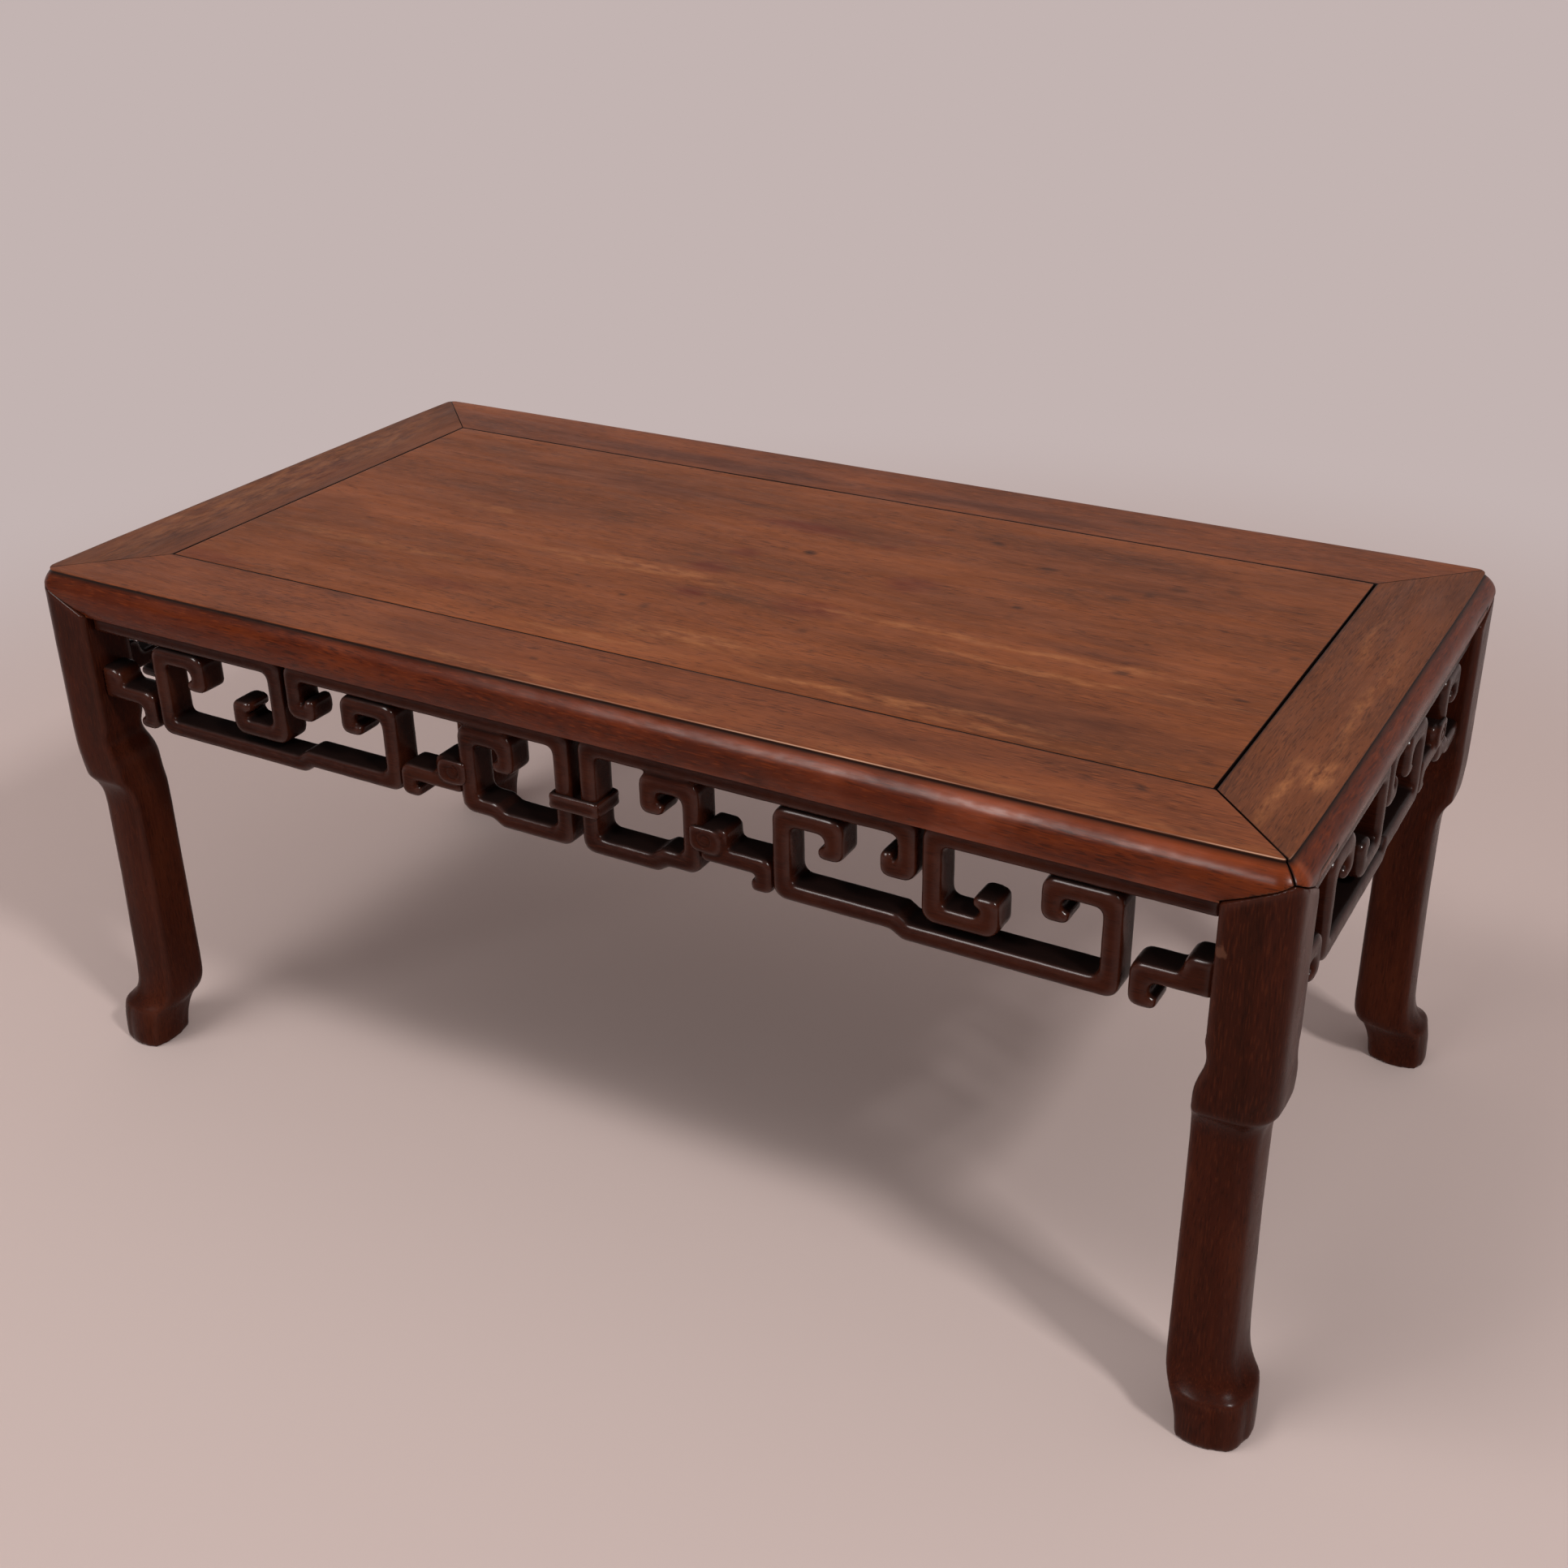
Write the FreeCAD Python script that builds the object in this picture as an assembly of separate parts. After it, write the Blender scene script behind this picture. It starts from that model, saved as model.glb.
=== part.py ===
import FreeCAD, Part
import math
import os

Vector = FreeCAD.Vector
os.makedirs("parts", exist_ok=True)

# A low hardwood kang table, in millimetres. The origin is on the floor at the
# middle of the table, +X runs along the length and +Z is up.

# Overall size
table_length = 840.0
table_width = 436.0
table_height = 367.0

# Mitred frame of the top
rail_width = 63.0
rail_thickness = 28.0
corner_radius = 14.0
arris_inset = 7.0
quirk_depth = 1.2
nose_drop = 12.0
under_inset = 3.5

# Floating panel, its tongue and the seams round it
panel_thickness = 14.0
tongue_thickness = 6.0
tongue_length = 7.0
tongue_end_gap = 1.0
tongue_play = 0.2
panel_seam = 0.8
panel_shrink_gap = 2.2

# Through tenons of the long rails, which show on the end rails. Each starts near
# the rail's inner edge and runs over this share of the leg's head.
tenon_lap_share = 0.128
tenon_thickness = 8.0
tenon_drop = 15.0
tenon_setback = 1.0
tenon_play = 0.7

# Battens that slide across under the panel
batten_count = 3
batten_spacing_share = 0.364
batten_width = 26.0
batten_height = 12.0
dovetail_neck = 15.0
dovetail_top = 19.0
dovetail_height = 5.0
batten_tenon_width = 14.0
batten_tenon_height = 7.0
batten_tenon_length = 12.0
batten_play = 0.2

# Legs: a square head that meets the frame in sloping mitres, a slim shaft and
# a hoof foot. The head's outer faces are flush with the frame.
leg_head = 39.0
leg_mitre_drop = 7.0
leg_mitre_fall = 20.0
leg_side_radius = 3.0
leg_inner_radius = 7.0
leg_tenon = 18.0
leg_tenon_height = 9.0
leg_tenon_play = 0.3

# Leg stations. Each row gives the height as a share of the frame's underside
# height, then as shares of the leg head how far the outer faces stand in, how
# far in the inner faces lie, the outer corner's radius and the faces' crown.
# Level sections are taken between the stations at this spacing.
section_spacing = 8.0
head_swell_shares = (
    (0.775, 0.000, 1.000, 0.36, 0.000),
    (0.750, 0.000, 0.984, 0.36, 0.000),
    (0.728, 0.000, 0.968, 0.37, 0.000),
    (0.712, 0.000, 1.010, 0.38, 0.001),
    (0.695, 0.000, 1.066, 0.41, 0.001),
    (0.676, 0.004, 1.098, 0.44, 0.002),
    (0.658, 0.015, 1.112, 0.46, 0.004),
    (0.640, 0.030, 1.118, 0.46, 0.008),
)
shaft_shares = (
    (0.640, 0.030, 1.118, 0.46, 0.008),
    (0.630, 0.100, 1.124, 0.41, 0.012),
    (0.613, 0.174, 1.136, 0.35, 0.016),
    (0.590, 0.226, 1.147, 0.30, 0.020),
    (0.555, 0.246, 1.150, 0.27, 0.020),
    (0.442, 0.246, 1.151, 0.26, 0.020),
    (0.295, 0.231, 1.154, 0.26, 0.020),
    (0.177, 0.210, 1.154, 0.28, 0.024),
    (0.136, 0.185, 1.149, 0.30, 0.036),
    (0.118, 0.144, 1.128, 0.33, 0.048),
    (0.103, 0.062, 1.075, 0.35, 0.058),
    (0.091, -0.036, 1.010, 0.35, 0.062),
)
foot_shares = (
    (0.091, -0.036, 1.010, 0.35, 0.062),
    (0.071, -0.060, 0.943, 0.34, 0.064),
    (0.047, -0.072, 0.892, 0.33, 0.066),
    (0.024, -0.077, 0.862, 0.32, 0.066),
    (0.000, -0.075, 0.846, 0.32, 0.066),
)

# Fret aprons of scrolling bars under the frame
bar_width = 11.5
bar_depth = 20.0
bar_round = 3.4
bend_outer_radius = 8.0
bend_inner_radius = 4.0
nick_radius = 2.6
nib_reach = 4.2
nib_height = 7.4
end_round_share = 0.96
straight_share = 0.98
fret_drop = 74.5
row_seam = 0.4
step_rise = 4.7
step_run = 7.0
toe_run = 16.0
hook_drop = 38.2
strip_hook_drop = 38.0
raised_hook_drop = 35.0
link_drop = 53.0
roundel_hook_drop = 69.5
leg_hook_drop = 74.5
roundel_rise = 17.6
roundel_hook_width = 14.1
block_rise = 11.0
centre_gap = 6.5
long_apron_recess = 7.0
end_apron_recess = 5.0

# Places along a long apron, as shares of the way from its middle to the leg
f_hook_share = 0.1306
f_step_share = 0.1400
f_bar_share = 0.2054
roundel_share = 0.2677
d_bar_share = 0.3576
d_hook_share = 0.4423
d_step_share = 0.5367
e_bar_share = 0.5564
c_bar_share = 0.5945
c_hook_share = 0.6824
b_hook_share = 0.7703
b_bar_share = 0.8576
a_hook_share = 0.8990
a_block_share = 0.9554

# The end aprons repeat half a long apron, cut off by the far leg this far
# from its middle, as a share in the same measure
end_cut_share = 0.0604

# Double bead round the middle pair of bars
ring_height = 11.0
ring_wall = 2.7
ring_drop = 44.5
ring_round = 2.0

# Pins that hold the fret
pin_radius = 2.0
pin_grip = 6.0
leg_pin_length = 16.0

# One overrun for every cut that has to pass a face
overrun = 5.0

half_length = table_length / 2
half_width = table_width / 2
under = table_height - rail_thickness
half_bar = bar_width / 2
inner_x = half_length - rail_width
inner_y = half_width - rail_width
panel_under = table_height - panel_thickness
long_span = half_length - leg_head
end_span = table_width - 2 * leg_head
end_pattern = end_span / (1 - end_cut_share)

X_AXIS = Vector(1, 0, 0)
Y_AXIS = Vector(0, 1, 0)
Z_AXIS = Vector(0, 0, 1)
ORIGIN = Vector()


def box(x0, x1, y0, y1, z0, z1):
    """A block between two corners."""
    return Part.makeBox(x1 - x0, y1 - y0, z1 - z0, Vector(x0, y0, z0))


def prism(points, way):
    """A solid swept straight from an outline of points."""
    return Part.Face(Part.makePolygon(points + points[:1])).extrude(way)


def rounded_wire(points, radii, crown=0):
    """A closed outline whose corners are arcs, each with its own radius.

    Where two arcs would meet on a side that is too short, both get smaller. With a
    crown, the sides are arcs that rise this far from straight lines.
    """
    heart = sum(points, ORIGIN) / len(points)
    edges = []
    starts = []
    ends = []
    arcs = []
    sides = [points[(i + 1) % len(points)] - corner for i, corner in enumerate(points)]
    tangents = [math.tan((-sides[i - 1]).getAngle(side) / 2) for i, side in enumerate(sides)]
    trims = [radius / tangent for radius, tangent in zip(radii, tangents)]
    limits = []
    for index, side in enumerate(sides):
        wanted = trims[index] + trims[(index + 1) % len(points)]
        limits.append(min(1, side.Length * straight_share / wanted) if wanted > 0 else 1)
    for index, corner in enumerate(points):
        before = (points[index - 1] - corner).normalize()
        after = (points[(index + 1) % len(points)] - corner).normalize()
        half_angle = before.getAngle(after) / 2
        radius = radii[index] * min(limits[index - 1], limits[index])
        if radius == 0:
            starts.append(corner)
            ends.append(corner)
            arcs.append(None)
            continue
        trim = radius / math.tan(half_angle)
        centre = corner + (before + after).normalize() * (radius / math.sin(half_angle))
        start = corner + before * trim
        end = corner + after * trim
        middle = centre + (corner - centre).normalize() * radius
        starts.append(start)
        ends.append(end)
        arcs.append(Part.Arc(start, middle, end).toShape())
    for index, arc in enumerate(arcs):
        if arc is not None:
            edges.append(arc)
        start = ends[index]
        end = starts[(index + 1) % len(points)]
        if crown == 0:
            edges.append(Part.makeLine(start, end))
        else:
            along = (end - start).normalize()
            middle = (start + end) / 2
            out = middle - heart
            out = (out - along * out.dot(along)).normalize()
            edges.append(Part.Arc(start, middle + out * crown, end).toShape())
    return Part.Wire(edges)


def moulded_slab():
    """The frame's outer form: a slab with round corners and a nosed edge."""
    corners = [Vector(-half_length, -half_width, under), Vector(half_length, -half_width, under),
               Vector(half_length, half_width, under), Vector(-half_length, half_width, under)]
    outline = rounded_wire(corners, [corner_radius] * len(corners))
    slab = Part.Face(outline).extrude(Vector(0, 0, rail_thickness))

    # The nosing's section, where the path round the frame starts
    def at(inward, drop):
        return Vector(-half_length + inward, -half_width + corner_radius, table_height - drop)

    def arc_middle(inward, drop):
        """The middle of an arc that stands upright where the nosing is widest."""
        rise = nose_drop - drop
        radius = (inward ** 2 + rise ** 2) / (2 * inward)
        half_turn = math.asin(rise / radius) / 2
        return at(radius * (1 - math.cos(half_turn)), nose_drop - radius * math.sin(half_turn))

    widest = at(0, nose_drop)
    top = at(arris_inset, quirk_depth)
    low = at(under_inset, rail_thickness)
    outside = [low, at(under_inset, rail_thickness + overrun),
               at(-overrun, rail_thickness + overrun), at(-overrun, -overrun),
               at(arris_inset, -overrun), top]
    edges = [Part.Arc(top, arc_middle(arris_inset, quirk_depth), widest).toShape(),
             Part.Arc(widest, arc_middle(under_inset, rail_thickness), low).toShape()]
    edges += [Part.makeLine(start, end) for start, end in zip(outside, outside[1:])]
    path = rounded_wire([Vector(p.x, p.y, widest.z) for p in corners],
                        [corner_radius] * len(corners))
    cutter = path.makePipeShell([Part.Wire(edges)], True, False)
    return slab.cut(cutter)


def four_corners(shape):
    """Copies of a shape from the front right corner at all four corners."""
    left = shape.mirror(ORIGIN, X_AXIS)
    return {
        "front_right": shape,
        "front_left": left,
        "back_right": shape.mirror(ORIGIN, Y_AXIS),
        "back_left": left.mirror(ORIGIN, Y_AXIS),
    }


def smooth_rows(rows):
    """Evenly spaced rows on curves that keep to the stations without waves."""
    rows = rows[::-1]
    heights = [row[0] for row in rows]
    count = max(2, round(under * (heights[-1] - heights[0]) / section_spacing))
    columns = []
    for column in range(1, len(rows[0])):
        values = [row[column] for row in rows]
        rates = [(b - a) / (q - p) for a, b, p, q in
                 zip(values, values[1:], heights, heights[1:])]
        slopes = [rates[0]]
        for before, after in zip(rates, rates[1:]):
            slopes.append(2 * before * after / (before + after) if before * after > 0 else 0)
        slopes.append(rates[-1])
        columns.append((values, slopes))
    result = []
    for index in range(count + 1):
        height = heights[0] + (heights[-1] - heights[0]) * index / count
        at = max(i for i, h in enumerate(heights[:-1]) if h <= height or i == 0)
        span = heights[at + 1] - heights[at]
        t = (height - heights[at]) / span
        row = [height]
        for values, slopes in columns:
            row.append(values[at] * (1 + 2 * t) * (1 - t) ** 2
                       + values[at + 1] * t ** 2 * (3 - 2 * t)
                       + slopes[at] * span * t * (1 - t) ** 2
                       - slopes[at + 1] * span * t ** 2 * (1 - t))
        result.append(row)
    return result


def leg_section(row):
    """One level outline of a leg, at the front right corner."""
    height_share, out_share, in_share, radius_share, crown_share = row
    z = under * height_share
    outer = leg_head * out_share
    inner = leg_head * in_share
    points = [Vector(half_length - outer, -half_width + outer, z),
              Vector(half_length - outer, -half_width + inner, z),
              Vector(half_length - inner, -half_width + inner, z),
              Vector(half_length - inner, -half_width + outer, z)]
    radii = [leg_head * radius_share, leg_side_radius, leg_inner_radius, leg_side_radius]
    return rounded_wire(points, radii, leg_head * crown_share)


def leg_head_solid():
    """The square head, hipped on top so that each face has a sloping mitre."""
    base = leg_section(head_swell_shares[0])
    peak = table_height - leg_mitre_drop
    head = Part.Face(base).extrude(Vector(0, 0, peak - base.BoundBox.ZMin))
    run = leg_head * 2
    fall = leg_mitre_fall * run / leg_head
    over_x = [Vector(half_length, 0, peak), Vector(half_length - run, 0, peak - fall),
              Vector(half_length - run, 0, peak + overrun), Vector(half_length, 0, peak + overrun)]
    over_y = [Vector(0, -half_width, peak), Vector(0, -half_width + run, peak - fall),
              Vector(0, -half_width + run, peak + overrun), Vector(0, -half_width, peak + overrun)]
    head = head.cut(prism([p + Vector(0, -half_width, 0) for p in over_x], Y_AXIS * run))
    head = head.cut(prism([p + Vector(half_length, 0, 0) for p in over_y], X_AXIS * -run))
    return head


def leg_tenon_solid(play):
    """The tenon that rises from the head into both rails."""
    middle_x = half_length - leg_head / 2
    middle_y = -half_width + leg_head / 2
    reach = leg_tenon / 2 + play
    top = table_height - leg_mitre_drop - leg_mitre_fall / 2 + leg_tenon_height / 2 + play
    return box(middle_x - reach, middle_x + reach, middle_y - reach, middle_y + reach,
               under - overrun, top)


def leg_solid():
    """The front right leg."""
    leg = leg_head_solid().fuse(leg_tenon_solid(0))
    for rows in (head_swell_shares, shaft_shares, foot_shares):
        sections = [leg_section(row) for row in smooth_rows(rows)]
        leg = leg.fuse(Part.makeLoft(sections, True, False))
    return leg.removeSplitter()


def rail_tenon(play):
    """The front rail's through tenon at its right end, or the mortise that takes it."""
    near = -half_width + leg_head * (1 - tenon_lap_share)
    top = table_height - tenon_drop
    return box(inner_x - overrun, half_length + overrun, near - play,
               -inner_y - tenon_setback + play, top - tenon_thickness - play, top + play)


def batten_places():
    """The battens' places along the table."""
    batten_spacing = 2 * inner_x * batten_spacing_share
    first = -batten_spacing * (batten_count - 1) / 2
    return [first + batten_spacing * index for index in range(batten_count)]


def batten_solid(play):
    """A batten at the middle: body, dovetail key and a tenon at each end."""
    z0 = panel_under - batten_height
    half_body = batten_width / 2
    half_run = inner_y - batten_play + play
    body = box(-half_body, half_body, -half_run, half_run, z0, panel_under)
    neck = dovetail_neck / 2 + play
    top = dovetail_top / 2 + play
    key = prism([Vector(-neck, -half_run, panel_under), Vector(neck, -half_run, panel_under),
                 Vector(top, -half_run, panel_under + dovetail_height + play),
                 Vector(-top, -half_run, panel_under + dovetail_height + play)],
                Vector(0, 2 * half_run, 0))
    return body.fuse(key).fuse(batten_tenon(play)).removeSplitter()


def batten_tenon(play):
    """The bar whose ends are a batten's tenons."""
    half_tenon = batten_tenon_width / 2 + play
    reach = inner_y + batten_tenon_length + play
    middle = panel_under - batten_height / 2
    rise = batten_tenon_height / 2 + play
    return box(-half_tenon, half_tenon, -reach, reach, middle - rise, middle + rise)


def tongue_slot(end_gap, play):
    """The panel's tongue, or with a gap and play the groove that takes it."""
    reach = tongue_length + end_gap
    return box(-inner_x - reach, inner_x + reach, -inner_y - reach, inner_y + reach,
               panel_under, panel_under + tongue_thickness + play)


def moved(shape, x, y, z):
    """A copy of a shape, moved."""
    copy = shape.copy()
    copy.translate(Vector(x, y, z))
    return copy


def build_frame():
    """The four rails, the panel and the battens."""
    slab = moulded_slab()
    outer_x = half_length + overrun
    outer_y = half_width + overrun
    z0 = under - overrun
    rise = Vector(0, 0, rail_thickness + 2 * overrun)
    front_zone = prism([Vector(-outer_x, -outer_y, z0), Vector(outer_x, -outer_y, z0),
                        Vector(inner_x, -inner_y, z0), Vector(-inner_x, -inner_y, z0)], rise)
    right_zone = prism([Vector(outer_x, -outer_y, z0), Vector(outer_x, outer_y, z0),
                        Vector(inner_x, inner_y, z0), Vector(inner_x, -inner_y, z0)], rise)
    groove = tongue_slot(tongue_end_gap, tongue_play)
    tops = four_corners(leg_head_solid().fuse(leg_tenon_solid(leg_tenon_play)))
    tenon = rail_tenon(0).common(slab)
    mortise = rail_tenon(tenon_play)

    front = slab.common(front_zone)
    front = front.fuse([tenon, tenon.mirror(ORIGIN, X_AXIS)]).removeSplitter()
    front = front.cut(groove)
    front = front.cut(tops["front_right"]).cut(tops["front_left"])
    for x in batten_places():
        front = front.cut(moved(batten_tenon(batten_play), x, 0, 0))

    right = slab.common(right_zone).cut(groove)
    right = right.cut([mortise, mortise.mirror(ORIGIN, Y_AXIS)])
    right = right.cut(tops["front_right"]).cut(tops["back_right"])

    panel = box(-inner_x + panel_seam, inner_x - panel_shrink_gap, -inner_y + panel_seam,
                inner_y - panel_seam, panel_under, table_height)
    panel = panel.fuse(tongue_slot(0, 0)).removeSplitter()
    solids = {}
    for index, x in enumerate(batten_places()):
        solids["batten_" + str(index + 1)] = moved(batten_solid(0), x, 0, 0)
        slot = moved(batten_solid(0), x, 0, 0)
        for reach in (-tongue_length, 0, tongue_length):
            panel = panel.cut(moved(slot, 0, reach, 0))
    solids["front_rail"] = front
    solids["back_rail"] = front.mirror(ORIGIN, Y_AXIS)
    solids["right_end_rail"] = right
    solids["left_end_rail"] = right.mirror(ORIGIN, X_AXIS)
    solids["top_panel"] = panel
    return solids


def curl(corner, way, side):
    """Corners of the nib that a bar's end grows on one side, from the bar to its tip."""
    radius = nib_height / 2 * end_round_share
    nib = corner + side * nib_reach
    return [(corner - way * nib_height, nick_radius), (nib - way * nib_height, radius), (nib, radius)]


def bar_outline(path, butt_start=False, butt_end=False):
    """Corners and radii of a bar that follows a path of (along, height) points.

    Each end is rounded and curls to the left of its path, or is cut off flat.
    """
    points = [Vector(x, 0, z) for x, z in path]
    ways = [(b - a).normalize() for a, b in zip(points, points[1:])]
    lefts = []
    rights = []
    for index, point in enumerate(points):
        before = ways[max(index - 1, 0)]
        after = ways[min(index, len(ways) - 1)]
        middle = (before + after).normalize()
        side = Vector(-middle.z, 0, middle.x)
        stretch = half_bar / middle.dot(after)
        turn = before.x * after.z - before.z * after.x
        left_radius = 0
        right_radius = 0
        if abs(turn) > 0:
            sharp = min(1, abs(turn))
            left_radius = (bend_inner_radius if turn > 0 else bend_outer_radius) * sharp
            right_radius = (bend_outer_radius if turn > 0 else bend_inner_radius) * sharp
        lefts.append((point + side * stretch, left_radius))
        rights.append((point - side * stretch, right_radius))
    for flat, index, way in ((butt_start, 0, -ways[0]), (butt_end, -1, ways[-1])):
        rights[index] = (rights[index][0], 0 if flat else half_bar * end_round_share)
        if not flat:
            left = lefts[index][0]
            nib = curl(left, way, (left - rights[index][0]).normalize())
            if index == 0:
                lefts[:1] = nib[::-1]
            else:
                lefts[-1:] = nib
    corners = rights + lefts[::-1]
    return [corner for corner, radius in corners], [radius for corner, radius in corners]


def fret_piece(corners, radii):
    """A carved piece from its front outline, with its front edges rounded."""
    face = Part.Face(rounded_wire(corners, radii))
    solid = face.extrude(Vector(0, bar_depth, 0))
    front = [edge for edge in solid.Edges if edge.BoundBox.YMax < bar_round]
    return solid.makeFillet(bar_round, front)


def scroll(path, butt_start=False, butt_end=False):
    """A scrolling bar along a path."""
    corners, radii = bar_outline(path, butt_start, butt_end)
    return fret_piece(corners, radii)


def build_half_fret(span, cut):
    """The pieces of half an apron, from its middle at 0 to the leg at span.

    With a cut, the pieces stop there instead of at the middle pair of bars.
    """
    strip = under - half_bar
    top = strip - bar_width - row_seam
    low = under - fret_drop + half_bar
    high = low + step_rise
    link = under - link_drop
    tip = under - hook_drop
    f_bar = span * f_bar_share
    f_hook = span * f_hook_share
    f_step = span * f_step_share
    d_bar = span * d_bar_share
    d_hook = span * d_hook_share
    d_step = span * d_step_share
    e_bar = span * e_bar_share
    c_bar = span * c_bar_share
    c_hook = span * c_hook_share
    b_bar = span * b_bar_share
    b_hook = span * b_hook_share
    pieces = {}

    foot = under - strip_hook_drop + half_bar
    strip_and_hook = [(e_bar - toe_run, foot), (e_bar, foot), (e_bar, strip)]
    box_scroll = [(f_step + step_run, high), (f_bar, high), (f_bar, top), (f_hook, top), (f_hook, tip)]
    if cut:
        pieces["strip_hook"] = scroll(strip_and_hook + [(cut, strip)], False, True)
        pieces["box_scroll"] = scroll([(cut, low), (f_step, low)] + box_scroll, True, False)
    else:
        middle = centre_gap / 2 + half_bar
        inner = [(middle, strip), (middle, low), (f_step, low)]
        pieces["inner_scroll"] = scroll(strip_and_hook + inner + box_scroll)

    pieces["low_scroll"] = scroll([
        (d_hook, tip), (d_hook, top), (d_bar, top), (d_bar, high), (d_step, high),
        (d_step + step_run, low), (b_bar, low), (b_bar, top), (b_hook, top), (b_hook, tip)])
    pieces["outer_scroll"] = scroll([
        (span, strip), (c_bar, strip), (c_bar, link), (c_hook, link),
        (c_hook, under - raised_hook_drop)], True, False)

    pieces["roundel_link"] = roundel_link(f_bar + half_bar, span * roundel_share,
                                          d_bar - half_bar, link)
    pieces["leg_hook"] = leg_hook(span * a_hook_share, span * a_block_share, span, link)
    return pieces


def roundel_link(start, roundel_end, end, link):
    """A link from one bar to the next: a roundel over it and a curled hook below."""
    bottom = link - half_bar
    top = link + half_bar
    crown = link + roundel_rise
    hook_bottom = under - roundel_hook_drop
    hook_start = end - bar_width
    nib_top = hook_bottom + nib_height
    nib_end = end - roundel_hook_width
    corners = [(start, bottom), (hook_start, bottom), (hook_start, nib_top), (nib_end, nib_top),
               (nib_end, hook_bottom), (end, hook_bottom), (end, top), (roundel_end, top),
               (roundel_end, crown), (start, crown)]
    end_radius = half_bar * end_round_share
    nib_radius = nib_height / 2 * end_round_share
    radii = [nick_radius, nick_radius, nick_radius, nib_radius, nib_radius, end_radius,
             bend_outer_radius, nick_radius, end_radius, end_radius]
    return fret_piece([Vector(x, 0, z) for x, z in corners], radii)


def leg_hook(hook, block, leg, link):
    """The piece beside a leg: a curled hook below, a link and a half roundel above."""
    bottom = link - half_bar
    top = link + half_bar
    tip = under - leg_hook_drop
    crown = top + block_rise
    nib_top = tip + nib_height
    nib_end = hook + half_bar + nib_reach
    corners = [(hook - half_bar, tip), (nib_end, tip), (nib_end, nib_top), (hook + half_bar, nib_top),
               (hook + half_bar, bottom), (leg, bottom), (leg, crown), (block, crown), (block, top),
               (hook - half_bar, top)]
    end_radius = half_bar * end_round_share
    nib_radius = nib_height / 2 * end_round_share
    radii = [end_radius, nib_radius, nib_radius, nick_radius, bend_inner_radius, 0, 0,
             bend_outer_radius, nick_radius, bend_outer_radius]
    return fret_piece([Vector(x, 0, z) for x, z in corners], radii)


def centre_ring():
    """A double bead round the middle pair of bars."""
    half_inside = centre_gap / 2 + bar_width
    reach = half_inside + ring_wall
    bottom = under - ring_drop - ring_height / 2
    bead_height = ring_height / 2
    beads = []
    for index in range(2):
        bead = box(-reach, reach, -ring_wall, bar_depth + ring_wall, bottom + bead_height * index,
                   bottom + bead_height * (index + 1))
        bead = bead.makeFillet(ring_round, bead.Edges)
        beads.append(bead)
    ring = beads[0].fuse(beads[1])
    hole = box(-half_inside, half_inside, 0, bar_depth, bottom - overrun, bottom + ring_height + overrun)
    return ring.cut(hole)


def fret_pins(span, cut):
    """Pins up into the rail, from the strip or from the bar under it, and into the legs."""
    strip = under - half_bar
    below = strip - bar_width - row_seam
    places = [(e_bar_share, strip), (c_hook_share, strip),
              ((b_bar_share + b_hook_share) / 2, below),
              ((d_bar_share + d_hook_share) / 2, below),
              ((f_bar_share + f_hook_share) / 2, below)]
    middle = bar_depth / 2
    pins = []
    for place, z0 in places:
        pins.append(Part.makeCylinder(pin_radius, under + pin_grip - z0,
                                      Vector(span * place, middle, z0)))
    link = under - link_drop
    pins.append(Part.makeCylinder(pin_radius, leg_pin_length,
                                  Vector(span - leg_pin_length / 2, middle, link), X_AXIS))
    if cut:
        low = under - fret_drop + half_bar
        pins.append(Part.makeCylinder(pin_radius, leg_pin_length,
                                      Vector(cut - leg_pin_length / 2, middle, low), X_AXIS))
    return pins


def on_front(shape):
    """A piece of the right half of the front apron, in its place."""
    return moved(shape, 0, -half_width + long_apron_recess, 0)


def on_right_end(shape):
    """A piece of the right end's apron, in its place."""
    turned = shape.mirror(ORIGIN, X_AXIS)
    turned.rotate(ORIGIN, Z_AXIS, 90)
    near_leg = -half_width + leg_head
    return moved(turned, half_length - end_apron_recess, near_leg + end_pattern, 0)


def build_frets():
    """All four aprons and their pins."""
    solids = {}
    pins = {}
    for name, shape in build_half_fret(long_span, 0).items():
        right = on_front(shape)
        left = right.mirror(ORIGIN, X_AXIS)
        solids["front_right_" + name] = right
        solids["front_left_" + name] = left
        solids["back_right_" + name] = right.mirror(ORIGIN, Y_AXIS)
        solids["back_left_" + name] = left.mirror(ORIGIN, Y_AXIS)
    ring = on_front(centre_ring())
    solids["front_centre_ring"] = ring
    solids["back_centre_ring"] = ring.mirror(ORIGIN, Y_AXIS)
    right_pins = [on_front(pin) for pin in fret_pins(long_span, 0)]
    front_pins = right_pins + [pin.mirror(ORIGIN, X_AXIS) for pin in right_pins]
    pins["front_fret_pins"] = front_pins
    pins["back_fret_pins"] = [pin.mirror(ORIGIN, Y_AXIS) for pin in front_pins]

    cut = end_pattern * end_cut_share
    for name, shape in build_half_fret(end_pattern, cut).items():
        right = on_right_end(shape)
        solids["right_end_" + name] = right
        solids["left_end_" + name] = right.mirror(ORIGIN, X_AXIS)
    end_pins = [on_right_end(pin) for pin in fret_pins(end_pattern, cut)]
    pins["right_end_fret_pins"] = end_pins
    pins["left_end_fret_pins"] = [pin.mirror(ORIGIN, X_AXIS) for pin in end_pins]
    return solids, pins


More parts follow.
